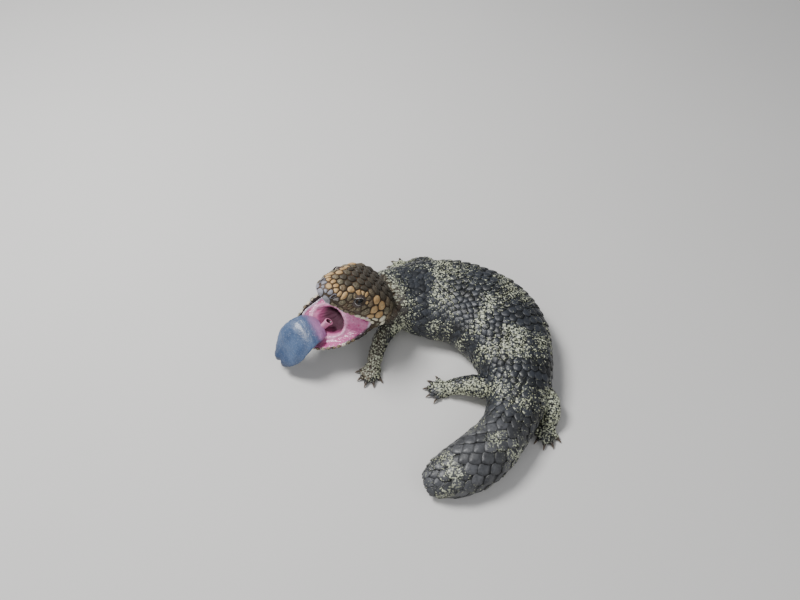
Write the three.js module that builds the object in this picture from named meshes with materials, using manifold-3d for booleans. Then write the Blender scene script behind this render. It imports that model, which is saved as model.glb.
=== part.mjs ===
// A shingleback skink (Tiliqua rugosa), one of the blue-tongued skinks, at life size. It lies curled to its
// own left with its head thrown up, its mouth wide open and its broad blue tongue out over the lower jaw.
// Millimetres, +Z up. The origin is on the ground, at the middle of the animal's bounding box.
import * as THREE from 'three';
import { mergeVertices } from 'three/addons/utils/BufferGeometryUtils.js';
import Module from 'manifold-3d';

const wasm = await Module();
wasm.setup();

// Driving dimensions of the whole animal
const gap = 0.3; // between neighbouring sub-parts
const sink = 0.6; // how far the resting parts are modelled below the ground before they are cut flat
const degree = Math.PI / 180;

// Head: its own frame has x along the skull to the snout, y to the animal's left and z up
const headLength = 61;
const headPlace = new THREE.Vector3(-28, -24.5, 30.8); // base of the skull
const headYaw = 40.7 * degree;
const headPitch = 45.7 * degree;
const headRoll = -10.4 * degree;
const gape = 55 * degree;
const jawYaw = -3 * degree; // the jaw slews a little to the animal's right
const hingeForward = 5; // of the jaw joint from the base of the skull
const jawLength = 54;
const lipThickness = 2.6;
const lipTuck = 0.1; // share of the half width by which the lip lies inside the cheek
const liningThickness = 2;
const eyePlace = new THREE.Vector3(38.5, 13.6, 17);
const eyeFacing = [0.12, 0.93, 0.34]; // forward, outward and up
const eyeRadius = 3.7;
const lidThickness = 1;
const lidOpening = [2.3, 3.3, 3]; // half sizes of the slit between the lids
const nostrilPlace = new THREE.Vector3(56, 7.2, 12.6);
const nostrilSize = [1.1, 1.1, 1.8];
const nostrilFacing = [0.4, 1, 0.3];
const earPlace = new THREE.Vector3(-2.5, 24, 5);
const earSize = [1.8, 2.8, 2.6];
const palateHeight = 0.8; // above the lip line
const palateArch = 1.8;
const floorDepth = 0.6; // below the jaw's rim
const floorDip = 1.6;
const pocket = 9; // how far a lining's pocket is cut past its open side

// Body: the middle of the trunk and tail from inside the head to the tail's tip
const spinePoints = [
  [-24, -20, 31],
  [-6, -15, 25.5],
  [9, -12, 20.5],
  [25, -10.5, 17.5],
  [46, -13, 17],
  [66, -24, 17],
  [79.5, -42, 16.5],
  [85, -62, 15.5],
  [86.5, -80, 14.5],
  [85, -97, 13.5],
  [79, -113, 13.5],
  [70, -127, 13],
  [57, -140, 12],
  [42, -149, 9.6],
  [24, -156, 7],
  [17, -158, 5],
];

// Share of the spine's length, half width, height above the spine's middle
const bodyProfile = [
  [0, 18, 13],
  [0.07, 23.5, 15.5],
  [0.14, 30, 17.5],
  [0.22, 34, 19],
  [0.3, 35, 20],
  [0.4, 35, 20.5],
  [0.48, 31.5, 19.5],
  [0.56, 26, 17.5],
  [0.64, 21.5, 15],
  [0.7, 17.5, 13],
  [0.76, 16.5, 12.5],
  [0.82, 17.5, 13],
  [0.88, 17, 12],
  [0.94, 14.5, 9.5],
  [0.975, 11, 7.5],
  [0.992, 7, 5],
  [1, 2, 1.5],
];

// Half width, top and lip line of the upper head, by distance from the base of the skull
const headProfile = [
  [-9, 14, 17, -2],
  [-4, 20.5, 22, -3.5],
  [3, 25, 25, -2.5],
  [10, 25.5, 26.5, 0.5],
  [17, 24, 27, 3],
  [27, 21.5, 27, 4],
  [36, 18.5, 25.5, 4.2],
  [44, 15.6, 23, 4.6],
  [51, 12.4, 19.5, 5],
  [57, 8.4, 15.5, 5.6],
  [headLength, 2.8, 10.8, 6.4],
];

// Half width and depth of the lower jaw, by distance from its hinge
const jawProfile = [
  [-9, 15, 10],
  [-3, 20, 13.5],
  [6, 23, 13.5],
  [17, 24, 11.5],
  [29, 23, 9],
  [40, 19, 7.5],
  [48, 13.5, 6],
  [jawLength, 3.5, 4],
];

// Flesh between the jaws: how far it stands ahead of the hinge, by distance from the middle of the mouth.
// It is sunk in the middle for the throat and stretched over the cheeks on both sides.
const cheekProfile = [
  [0, 6.5],
  [8.5, 8],
  [12, 16.5],
  [16, 13],
  [20.5, 8],
];
const cheekHalfWidth = 20.5;
const cheekOverlap = 9 * degree; // by which it runs on into the palate and the mouth's floor

// Tongue, in the jaw's frame: forward, left, up and half width. It leaves the mouth's floor, lies over the
// front of the jaw and hangs to a blunt tip.
const tonguePath = [
  [33, 0.3, 1.6, 10.5],
  [38.5, 0.6, 3.6, 13],
  [45, 1, 4.6, 14.7],
  [52, 1.8, 4, 15.5],
  [59, 2.6, 0, 16],
  [66, 3.4, -6.5, 14.5],
  [72, 4, -11.5, 10.5],
  [75, 4.4, -14.5, 5],
];
const tongueThickness = 5;

// Shares of the spine's length where the body's nodes meet
const cuts = { neck: 0.17, chest: 0.38, hips: 0.6, tailRoot: 0.73, tailMiddle: 0.87 };

// The legs: joints from the root inside the trunk to the wrist or ankle, with the radius at each
const legs = {
  leg_front_left: {
    joints: [[4, -20, 15], [-6, -34, 15.5], [-14, -45, 12.5], [-18, -56, 8.5], [-20, -64, 4.8]],
    radii: [8.5, 8, 6.4, 5.3, 4.5],
    toeHeading: -112 * degree,
  },
  leg_front_right: {
    joints: [[16, 8, 15], [23, 20, 13], [23, 29, 10.5], [15, 32, 7.5], [7, 31, 4.8]],
    radii: [8.5, 8, 6.4, 5.3, 4.5],
    toeHeading: 172 * degree,
  },
  leg_hind_left: {
    joints: [[78, -88, 12.5], [66, -87, 12], [54, -85, 11], [44, -84, 8], [36, -84, 5]],
    radii: [10, 9, 8, 6.4, 5],
    toeHeading: 176 * degree,
  },
  leg_hind_right: {
    joints: [[93, -90, 12.5], [103, -94, 12.5], [109, -100, 10.5], [110, -107, 7.5], [107, -113, 5]],
    radii: [10, 9.5, 8, 6.4, 5],
    toeHeading: -104 * degree,
  },
};
const footPad = [6.6, 6.6, 4.4];
const padForward = 3.5; // of the middle of the foot from the ankle
const toeLength = 9;
const toeRadius = 2.1;
const clawLength = 3.4;
const toeSpread = [-62, -30, 0, 28, 60]; // degrees from the middle of the foot

// Plates: scutes in staggered rows over the back, flanks and tail, and convex shields over the head
const trunkScute = { spacing: 11.9, width: 13.4, height: 1.4 };
const tailScute = { spacing: 9.7, width: 11.1, height: 1.6 };
const scuteRoot = 1.6; // below the skin
const scuteOutline = [[-0.5, 0], [-0.12, 0.48], [0.36, 0.38], [0.52, 0], [0.36, -0.38], [-0.12, -0.48]];
const shieldRows = [
  [5, 6, 9.6], [14, 6, 9.6], [23, 5, 9.4], [32, 5, 9], [41, 4, 8.4], [49, 4, 7], [55.5, 3, 5.6],
];
const shieldHeight = 1.3;

// Smooth curve through rows of numbers, by their first column
function profile(rows) {
  const slopes = rows.map((row, i) => {
    const before = rows[Math.max(i - 1, 0)];
    const after = rows[Math.min(i + 1, rows.length - 1)];
    return row.map((value, k) => (after[k] - before[k]) / (after[0] - before[0]));
  });
  return (place) => {
    const last = rows.length - 2;
    const i = Math.min(Math.max(rows.findIndex((row) => row[0] > place) - 1, 0), last);
    const from = place >= rows[last + 1][0] ? last : i;
    const span = rows[from + 1][0] - rows[from][0];
    const t = THREE.MathUtils.clamp((place - rows[from][0]) / span, 0, 1);
    return rows[from].slice(1).map((value, k) => {
      const a = value;
      const b = rows[from + 1][k + 1];
      const da = slopes[from][k + 1] * span;
      const db = slopes[from + 1][k + 1] * span;
      return a + t * (da + t * (3 * (b - a) - 2 * da - db + t * (2 * (a - b) + da + db)));
    });
  };
}

const bodyAt = profile(bodyProfile);
const headAt = profile(headProfile);
const jawAt = profile(jawProfile);
const cheekAt = profile(cheekProfile);
const spine = new THREE.CatmullRomCurve3(spinePoints.map((p) => new THREE.Vector3(...p)));

// A closed surface through rings of points, with a fan over each end
function loft(rings) {
  const count = rings[0].length;
  const points = rings.flat();
  const faces = [];
  for (let r = 0; r < rings.length - 1; r += 1) {
    for (let k = 0; k < count; k += 1) {
      const a = r * count + k;
      const b = r * count + ((k + 1) % count);
      faces.push(a, b, b + count, a, b + count, a + count);
    }
  }
  const ends = [rings[0], rings[rings.length - 1]];
  ends.forEach((ring, end) => {
    const middle = ring.reduce((sum, p) => sum.add(p), new THREE.Vector3()).divideScalar(count);
    const start = end * (rings.length - 1) * count;
    points.push(middle);
    for (let k = 0; k < count; k += 1) {
      const a = start + k;
      const b = start + ((k + 1) % count);
      faces.push(...(end ? [a, b, points.length - 1] : [b, a, points.length - 1]));
    }
  });
  const geometry = new THREE.BufferGeometry().setFromPoints(points);
  geometry.setIndex(faces);
  return solidOf(geometry);
}

// The same closed surface as a solid that can be joined and cut, its faces turned outward
function solidOf(geometry) {
  const bare = geometry.clone();
  bare.deleteAttribute('normal');
  bare.deleteAttribute('uv');
  const merged = mergeVertices(bare, 1e-4);
  const vertProperties = new Float32Array(merged.attributes.position.array);
  const triVerts = new Uint32Array(merged.index.array);
  const corner = (i) => new THREE.Vector3().fromArray(vertProperties, triVerts[i] * 3);
  let volume = 0;
  for (let i = 0; i < triVerts.length; i += 3) {
    volume += corner(i).dot(corner(i + 1).cross(corner(i + 2)));
  }
  if (volume < 0) {
    for (let i = 0; i < triVerts.length; i += 3) {
      [triVerts[i], triVerts[i + 1]] = [triVerts[i + 1], triVerts[i]];
    }
  }
  return new wasm.Manifold(new wasm.Mesh({ numProp: 3, vertProperties, triVerts }));
}

const moved = (solid, matrix) => solid.transform(matrix.elements);

function largest(solid) {
  const bodies = solid.decompose();
  return bodies.reduce((best, body) => (body.volume() > best.volume() ? body : best), bodies[0]);
}

// An ellipsoid of the given half sizes, its third axis pointing along a direction
function ellipsoid(centre, sizes, direction = new THREE.Vector3(0, 0, 1), around = 12, rings = 8) {
  const geometry = new THREE.SphereGeometry(1, around, rings);
  const turn = new THREE.Quaternion().setFromUnitVectors(
    new THREE.Vector3(0, 0, 1),
    direction.clone().normalize(),
  );
  geometry.applyMatrix4(new THREE.Matrix4().compose(centre, turn, new THREE.Vector3(...sizes)));
  return solidOf(geometry);
}

// Directions across the body at a share of the spine's length: back along it, left and up
function spineFrame(share) {
  const back = spine.getTangentAt(share);
  const left = new THREE.Vector3(0, 0, 1).cross(back).negate().normalize();
  const up = left.clone().cross(back).normalize();
  return { middle: spine.getPointAt(share), back, left, up };
}

// A point on the body's skin: angle 0 is the left side, a quarter turn is the middle of the back
function skinPoint(share, angle, grow = 0) {
  const { middle, left, up } = spineFrame(share);
  const [width, height] = bodyAt(share);
  const depth = Math.min(height, Math.max(middle.z + sink, height * 0.8));
  const lift = Math.sin(angle);
  const across = Math.sign(Math.cos(angle)) * Math.abs(Math.cos(angle)) ** (lift < 0 ? 0.7 : 0.92);
  const rise = lift < 0 ? (depth + grow) * -(Math.abs(lift) ** 0.75) : (height + grow) * lift ** 0.9;
  return middle.addScaledVector(left, (width + grow) * across).addScaledVector(up, rise);
}

// The same pseudo-random numbers on every build
function seeded(seed) {
  let state = seed;
  return () => {
    state = (state * 1664525 + 1013904223) % 4294967296;
    return state / 4294967296;
  };
}

// A plate on a surface: its outline follows the skin, its root is sunk and its top stands up
function plateOn(pointAt, length, width, liftAt) {
  const spot = pointAt(0, 0);
  const ahead = pointAt(0.5, 0).sub(spot);
  const normal = pointAt(0, 0.5).sub(spot).cross(ahead).normalize();
  const ring = (scale, lift) =>
    scuteOutline.map(([a, b]) =>
      pointAt(a * scale * length, b * scale * width).addScaledVector(normal, lift(a)),
    );
  return loft([ring(1, () => -scuteRoot), ring(0.92, liftAt)]);
}

// Angles round the body that divide the skin from the left flank over the back to the right one evenly
function evenAngles(share, count, shift) {
  const samples = 48;
  const angles = Array.from({ length: samples + 1 }, (_, i) => (Math.PI * i) / samples);
  const points = angles.map((angle) => skinPoint(share, angle));
  const run = [0];
  for (let i = 1; i <= samples; i += 1) {
    run.push(run[i - 1] + points[i].distanceTo(points[i - 1]));
  }
  return Array.from({ length: count }, (_, k) => {
    const target = ((k + shift) / count) * run[samples];
    const i = Math.max(run.findIndex((value) => value >= target), 1);
    const t = (target - run[i - 1]) / (run[i] - run[i - 1]);
    return { angle: angles[i - 1] + t * (angles[i] - angles[i - 1]), arc: run[samples] };
  });
}

// Every scute between two shares of the spine, in staggered rows
function scutes(from, to, size, seed) {
  const random = seeded(seed);
  const length = spine.getLength();
  const rows = Math.round(((to - from) * length) / size.spacing);
  const plates = [];
  for (let r = 0; r <= rows; r += 1) {
    const share = from + ((to - from) * r) / rows;
    const { arc } = evenAngles(share, 1, 0)[0];
    const count = Math.round(arc / size.width);
    for (const { angle } of evenAngles(share, count, r % 2 ? 0.25 : 0.75)) {
      const spot = skinPoint(share, angle);
      const perAngle = skinPoint(share, angle + 0.02).distanceTo(spot) / 0.02;
      const pointAt = (a, b) => skinPoint(share + a / length, angle - b / perAngle);
      const vary = 0.92 + 0.12 * random();
      const height = size.height * (0.8 + 0.4 * random());
      const liftAt = (a) => height * (0.55 + 0.9 * a);
      plates.push({
        share,
        solid: plateOn(pointAt, size.spacing * 1.3 * vary, (arc / count) * 0.96 * vary, liftAt),
      });
    }
  }
  return plates;
}

function bodyLength(from, to, steps, grow = 0) {
  const around = 18;
  const rings = [];
  for (let i = 0; i <= steps; i += 1) {
    const share = from + ((to - from) * i) / steps;
    rings.push(
      Array.from({ length: around }, (_, k) => skinPoint(share, (k / around) * 2 * Math.PI, grow)),
    );
  }
  return loft(rings);
}

// Half a space, as a cut across the spine that leaves half a gap on its side
function cutAcross(solid, share, keepBack) {
  const { middle, back } = spineFrame(share);
  const normal = keepBack ? back : back.clone().negate();
  return solid.trimByPlane(normal.toArray(), normal.dot(middle) + gap / 2);
}

const onGround = (solid) => solid.trimByPlane([0, 0, 1], 0);

// Head: rings along the skull, square under and rounded over the cheeks and crown
function headRing(x, grow = 0, around = 23) {
  const [width, , lip] = headAt(x);
  const floorPoints = 5;
  const ring = [];
  for (let k = 0; k <= around - floorPoints; k += 1) {
    const angle = (k / (around - floorPoints)) * Math.PI;
    ring.push(headPoint(x, angle, grow));
  }
  for (let k = 1; k < floorPoints; k += 1) {
    const y = (width + grow) * (1 - lipTuck) * (-1 + (2 * k) / floorPoints);
    ring.push(new THREE.Vector3(x, y, lip - grow));
  }
  return ring;
}

// A point on the head's skin: angle 0 is the left lip, a quarter turn the middle of the crown
function headPoint(x, angle, grow = 0) {
  const [width, top, lip] = headAt(x);
  const rise = Math.abs(Math.sin(angle)) ** 0.72;
  const tuck = 1 - lipTuck * Math.max(0, 1 - rise / 0.3);
  const across = Math.sign(Math.cos(angle)) * Math.abs(Math.cos(angle)) ** 0.68 * tuck;
  return new THREE.Vector3(x, (width + grow) * across, lip - grow + (top - lip + 2 * grow) * rise);
}

// Convex shields in rows over the crown, temples and snout, clear of the eyes
function shields() {
  const random = seeded(7);
  const plates = [];
  shieldRows.forEach(([x, count, size], row) => {
    for (let k = 0; k < count; k += 1) {
      const middle = (k + 0.5) / count;
      const angle = (0.5 + (middle - 0.5) * 0.86) * Math.PI;
      const place = x + (k % 2) * 2 * (row % 2 ? -1 : 1) * 0.6;
      const spot = headPoint(place, angle);
      const eye = Math.min(spot.distanceTo(eyeMiddle(1)), spot.distanceTo(eyeMiddle(-1)));
      const perAngle = headPoint(place, angle + 0.03).distanceTo(spot) / 0.03;
      const pointAt = (a, b) => headPoint(place - a, angle - b / perAngle);
      const vary = 0.9 + 0.2 * random();
      const liftAt = (a) => shieldHeight * (0.85 - 0.5 * Math.abs(a));
      if (eye > eyeRadius + lidThickness + 3) {
        plates.push(plateOn(pointAt, size * vary, size * vary, liftAt));
      }
    }
  });
  return plates;
}

function headSolid(grow = 0) {
  const stations = [-9, -5, 0, 6, 12, 18, 26, 34, 42, 48, 53, 57, 59.5, headLength];
  const rings = stations.map((x) => headRing(x, grow));
  const shift = (ring, x) => ring.forEach((p) => (p.x += x));
  shift(rings[0], -grow);
  shift(rings[rings.length - 1], grow);
  return loft(rings);
}

// Lower jaw, in the frame of its hinge: flat on top, a rounded keel below
function jawRing(x, grow = 0) {
  const [width, depth] = jawAt(x);
  const around = 12;
  const ring = [];
  for (let k = 0; k <= around; k += 1) {
    const angle = (k / around) * Math.PI;
    const across = Math.sign(Math.cos(angle)) * Math.abs(Math.cos(angle)) ** 0.75;
    const drop = Math.sin(angle) ** 0.8;
    ring.push(new THREE.Vector3(x, (width + grow) * across, grow - (depth + 2 * grow) * drop));
  }
  for (let k = 1; k < 5; k += 1) {
    ring.push(new THREE.Vector3(x, (width + grow) * (-1 + (2 * k) / 5), grow));
  }
  return ring;
}

function jawSolid(grow = 0) {
  const stations = [-9, -4, 3, 12, 21, 30, 38, 44, 49, 52, jawLength];
  const rings = stations.map((x) => jawRing(x, grow));
  rings[0].forEach((p) => (p.x -= grow));
  rings[rings.length - 1].forEach((p) => (p.x += grow));
  return loft(rings);
}

// The palate's lining, in a hollow under the upper lip. Its pocket is the same form, open downward.
function palateSolid(grow = 0, open = 0) {
  const rings = [];
  for (let x = 15; x <= 55; x += 5) {
    const reach = x === 15 ? -grow : x === 55 ? grow : 0;
    const [width, , lip] = headAt(x);
    const half = width * (1 - lipTuck) - lipThickness + grow;
    const under = lip + palateHeight - open - grow;
    const over = lip + palateHeight + palateArch + liningThickness + grow;
    const ring = [];
    for (let k = 0; k <= 8; k += 1) {
      const y = half * (1 - k / 4);
      const arch = open ? 0 : palateArch * (1 - (y / half) ** 2);
      ring.push(new THREE.Vector3(x + reach, y, under + arch));
    }
    ring.push(new THREE.Vector3(x + reach, -half, over), new THREE.Vector3(x + reach, half, over));
    rings.push(ring);
  }
  return loft(rings);
}

// The lining of the mouth's floor, in a hollow inside the lower lip. Its pocket is open upward.
function mouthFloorSolid(grow = 0, open = 0) {
  const rings = [];
  for (let x = 8; x <= 48; x += 5) {
    const reach = x === 8 ? -grow : x === 48 ? grow : 0;
    const half = jawAt(x)[0] - lipThickness + grow;
    const over = open + grow - floorDepth;
    const under = -floorDepth * 2 - liningThickness - grow;
    const ring = [];
    for (let k = 0; k <= 8; k += 1) {
      const y = half * (1 - k / 4);
      const dip = open ? 0 : floorDip * (1 - (y / half) ** 2);
      ring.push(new THREE.Vector3(x + reach, y, over - dip));
    }
    ring.push(new THREE.Vector3(x + reach, -half, under), new THREE.Vector3(x + reach, half, under));
    rings.push(ring);
  }
  return loft(rings);
}

// The back of the mouth, in the hinge's frame: a web from corner to corner with the throat sunk in its middle
function throatSolid(grow = 0) {
  const rings = [];
  const overlap = cheekOverlap + grow * 12 * degree;
  const root = 1.5 - grow * 3;
  for (const share of [-1, -0.78, -0.585, -0.5, -0.415, -0.2, 0.2, 0.415, 0.5, 0.585, 0.78, 1]) {
    const side = (cheekHalfWidth + grow) * share;
    const beside = [-grow * 2, 0, grow * 2].map((step) => cheekAt(Math.abs(cheekHalfWidth * share) + step)[0]);
    const reach = Math.max(...beside) + grow;
    const ring = [];
    for (let k = 0; k <= 6; k += 1) {
      const angle = -overlap + ((gape + 2 * overlap) * k) / 6;
      ring.push(new THREE.Vector3(reach * Math.cos(angle), side, -reach * Math.sin(angle)));
    }
    ring.push(new THREE.Vector3(root * Math.cos(gape / 2), side, -root * Math.sin(gape / 2)));
    rings.push(ring);
  }
  return loft(rings);
}

// A broad strap along the tongue's path, thinner towards its tip
function tongueSolid() {
  const middle = new THREE.CatmullRomCurve3(tonguePath.map(([x, y, z]) => new THREE.Vector3(x, y, z)));
  const steps = 11;
  const around = 12;
  const rings = [];
  for (let i = 0; i <= steps; i += 1) {
    const t = i / steps;
    const place = t * (tonguePath.length - 1);
    const row = Math.min(Math.floor(place), tonguePath.length - 2);
    const half = THREE.MathUtils.lerp(tonguePath[row][3], tonguePath[row + 1][3], place - row);
    const forward = middle.getTangent(t);
    const across = new THREE.Vector3(0, 0, 1).cross(forward).normalize();
    const up = forward.clone().cross(across);
    const thick = (tongueThickness / 2) * (t > 0.85 ? 1 - 2.6 * (t - 0.85) : 1);
    const ring = [];
    for (let k = 0; k < around; k += 1) {
      const angle = (k / around) * 2 * Math.PI;
      const side = Math.sign(Math.cos(angle)) * Math.abs(Math.cos(angle)) ** 0.8;
      const point = middle.getPoint(t).addScaledVector(across, half * side);
      ring.push(point.addScaledVector(up, thick * Math.sin(angle)));
    }
    rings.push(ring);
  }
  return loft(rings);
}

// A tube through joints, its radius blended between them
function limb(joints, radii, grow = 0, around = 8, smoothing = 2) {
  const curve = new THREE.CatmullRomCurve3(joints.map((p) => new THREE.Vector3(...p)));
  const steps = (joints.length - 1) * smoothing;
  const rings = [];
  for (let i = 0; i <= steps; i += 1) {
    const t = i / steps;
    const place = t * (joints.length - 1);
    const row = Math.min(Math.floor(place), joints.length - 2);
    const radius = THREE.MathUtils.lerp(radii[row], radii[row + 1], place - row) + grow;
    const forward = curve.getTangent(t);
    const side = new THREE.Vector3(0, 0, 1).cross(forward).normalize();
    const up = forward.clone().cross(side);
    const ring = [];
    for (let k = 0; k < around; k += 1) {
      const angle = (k / around) * 2 * Math.PI;
      const point = curve.getPoint(t).addScaledVector(side, radius * Math.cos(angle));
      ring.push(point.addScaledVector(up, radius * Math.sin(angle)));
    }
    rings.push(ring);
  }
  return loft(rings);
}

// A foot: a low pad with five short toes, each ending in a blunt claw
function foot(ankle, heading) {
  const forward = new THREE.Vector3(Math.cos(heading), Math.sin(heading), 0);
  const padMiddle = new THREE.Vector3(ankle[0], ankle[1], 2.2).addScaledVector(forward, padForward);
  let solid = ellipsoid(padMiddle, footPad, undefined, 10, 6);
  for (const spread of toeSpread) {
    const turn = heading + spread * degree;
    const along = new THREE.Vector3(Math.cos(turn), Math.sin(turn), 0);
    const length = toeLength * (1 - Math.abs(spread) / 250);
    const place = (distance, height) => {
      const p = padMiddle.clone().addScaledVector(along, 3 + distance);
      return [p.x, p.y, height];
    };
    const claw = place(length + clawLength, 0.7);
    const joints = [place(0, 2.4), place(length * 0.6, 2.5), place(length, 2), claw];
    const radii = [toeRadius * 1.15, toeRadius, toeRadius * 0.62, 0.35];
    solid = solid.add(limb(joints, radii, 0, 6, 1));
  }
  return solid;
}

function legSolid({ joints, radii, toeHeading }, grow = 0) {
  const tube = limb(joints, radii, grow);
  return grow ? tube : tube.add(foot(joints[joints.length - 1], toeHeading));
}

// Lids: a low swelling round each eye, slit open along the eye, with the socket cut in behind
function eyeOutward(side) {
  const [forward, outward, up] = eyeFacing;
  return new THREE.Vector3(forward, side * outward, up).normalize();
}

const eyeMiddle = (side) => new THREE.Vector3(eyePlace.x, side * eyePlace.y, eyePlace.z);

function withEye(solid, side) {
  const outward = eyeOutward(side);
  const middle = eyeMiddle(side);
  const lid = eyeRadius + gap + lidThickness;
  const socket = eyeRadius + gap;
  const opening = middle.clone().addScaledVector(outward, eyeRadius);
  return solid
    .add(ellipsoid(middle, [lid, lid, lid], outward, 12, 8))
    .subtract(ellipsoid(middle, [socket, socket, socket], outward, 12, 8))
    .subtract(ellipsoid(opening, lidOpening, outward, 12, 6));
}

const skinDark = { color: 0x3c3d3a, roughness: 0.75, metalness: 0 };
const skinHead = { color: 0x8a6c4a, roughness: 0.7, metalness: 0 };
const liningPink = { color: 0xc0679a, roughness: 0.35, metalness: 0 };
const throatRed = { color: 0x6b2440, roughness: 0.35, metalness: 0 };
const tongueBlue = { color: 0x46608c, roughness: 0.4, metalness: 0 };
const eyeBlack = { color: 0x14110f, roughness: 0.1, metalness: 0 };

function meshOf(name, solid, look) {
  const { vertProperties, triVerts } = largest(solid).getMesh();
  const geometry = new THREE.BufferGeometry();
  geometry.setAttribute('position', new THREE.BufferAttribute(vertProperties, 3));
  geometry.setIndex(new THREE.BufferAttribute(triVerts, 1));
  geometry.computeVertexNormals();
  const mesh = new THREE.Mesh(geometry, new THREE.MeshStandardMaterial(look));
  mesh.name = name;
  return mesh;
}

// The head's group, with the jaw's group turned open on its hinge
const skull = new THREE.Group();
skull.position.copy(headPlace);
skull.rotation.set(headRoll, -headPitch, Math.PI + headYaw, 'ZYX');
const jaw = new THREE.Group();
jaw.position.x = hingeForward;
jaw.rotation.set(0, gape, jawYaw, 'YZX');
skull.add(jaw);
skull.updateMatrixWorld(true);

// From the hinge's frame, square to the skull, to the skull's and the jaw's own
const hingeToHead = new THREE.Matrix4().makeTranslation(hingeForward, 0, 0);
const hingeToJaw = new THREE.Matrix4().makeRotationFromEuler(jaw.rotation).invert();
const headToJaw = hingeToJaw.clone().multiply(hingeToHead.clone().invert());

function buildHead() {
  let head = shields().reduce((sum, shield) => sum.add(shield), headSolid());
  for (const side of [-1, 1]) {
    head = withEye(head, side);
    const mirrored = new THREE.Vector3(1, side, 1);
    const nostril = nostrilPlace.clone().multiply(mirrored);
    const nostrilOut = new THREE.Vector3(...nostrilFacing).multiply(mirrored);
    head = head.subtract(ellipsoid(nostril, nostrilSize, nostrilOut, 8, 6));
    const ear = earPlace.clone().multiply(mirrored);
    head = head.subtract(ellipsoid(ear, earSize, new THREE.Vector3(0, side, 0), 10, 6));
  }
  return head.subtract(palateSolid(gap, pocket)).subtract(moved(throatSolid(gap), hingeToHead));
}

function buildJaw() {
  return jawSolid()
    .subtract(moved(headSolid(gap), headToJaw))
    .subtract(mouthFloorSolid(gap, pocket))
    .subtract(moved(throatSolid(gap), hingeToJaw));
}

function buildBody() {
  const plates = [
    ...scutes(0.085, cuts.tailRoot - 0.02, trunkScute, 11),
    ...scutes(cuts.tailRoot + 0.015, 0.965, tailScute, 29),
  ];
  const lengths = [
    ['neck', 0.005, cuts.neck, 4],
    ['trunk_front', cuts.neck, cuts.chest, 4],
    ['trunk_rear', cuts.chest, cuts.hips, 5],
    ['hips', cuts.hips, cuts.tailRoot, 3],
    ['tail_base', cuts.tailRoot, cuts.tailMiddle, 3],
    ['tail_tip', cuts.tailMiddle, 1, 6],
  ];
  return lengths.map(([name, from, to, steps]) => {
    const near = plates.filter((plate) => plate.share > from - 0.03 && plate.share < to + 0.03);
    let solid = near.reduce((sum, plate) => sum.add(plate.solid), bodyLength(from, to, steps));
    if (to < 1) {
      solid = cutAcross(solid, to, false);
    }
    if (name === 'neck') {
      solid = solid.subtract(moved(headSolid(gap), skull.matrixWorld));
      solid = solid.subtract(moved(jawSolid(gap), jaw.matrixWorld));
    } else {
      solid = cutAcross(solid, from, true);
    }
    for (const leg of Object.values(legs)) {
      solid = solid.subtract(legSolid(leg, gap));
    }
    return [name, onGround(solid)];
  });
}

skull.add(meshOf('head', buildHead(), skinHead));
const palate = palateSolid().subtract(moved(throatSolid(gap), hingeToHead));
skull.add(meshOf('palate', palate, liningPink));
for (const [name, side] of [['eye_left', 1], ['eye_right', -1]]) {
  const sizes = [eyeRadius, eyeRadius, eyeRadius];
  skull.add(meshOf(name, ellipsoid(eyeMiddle(side), sizes, eyeOutward(side), 10, 8), eyeBlack));
}
const throat = meshOf('throat', throatSolid(), throatRed);
throat.position.x = hingeForward;
skull.add(throat);
const jawRim = jawSolid(gap).subtract(mouthFloorSolid(0, pocket));
const tongue = tongueSolid().subtract(mouthFloorSolid(gap)).subtract(jawRim);
jaw.add(meshOf('lower_jaw', buildJaw(), skinHead));
const mouthFloor = mouthFloorSolid().subtract(moved(throatSolid(gap), hingeToJaw));
jaw.add(meshOf('mouth_floor', mouthFloor, liningPink));
jaw.add(meshOf('tongue', tongue, tongueBlue));

const animal = new THREE.Group();
animal.add(skull);
for (const [name, solid] of buildBody()) {
  animal.add(meshOf(name, solid, skinDark));
}
for (const [name, leg] of Object.entries(legs)) {
  animal.add(meshOf(name, onGround(legSolid(leg)), skinDark));
}

// Set the whole animal over the origin
const whole = new THREE.Box3().setFromObject(animal, true);
animal.position.set(-(whole.min.x + whole.max.x) / 2, -(whole.min.y + whole.max.y) / 2, -whole.min.z);
const model = new THREE.Group();
model.add(animal);

export default model;
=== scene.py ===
# Shingleback skink, curled and gaping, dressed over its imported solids.
# Shapes are worked out in millimetres, in the head's or the body's own directions, and written in metres.
import bpy
import math
import numpy as np
from itertools import product
from mathutils import Matrix, Vector
from mathutils.bvhtree import BVHTree
from mathutils.kdtree import KDTree


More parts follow.
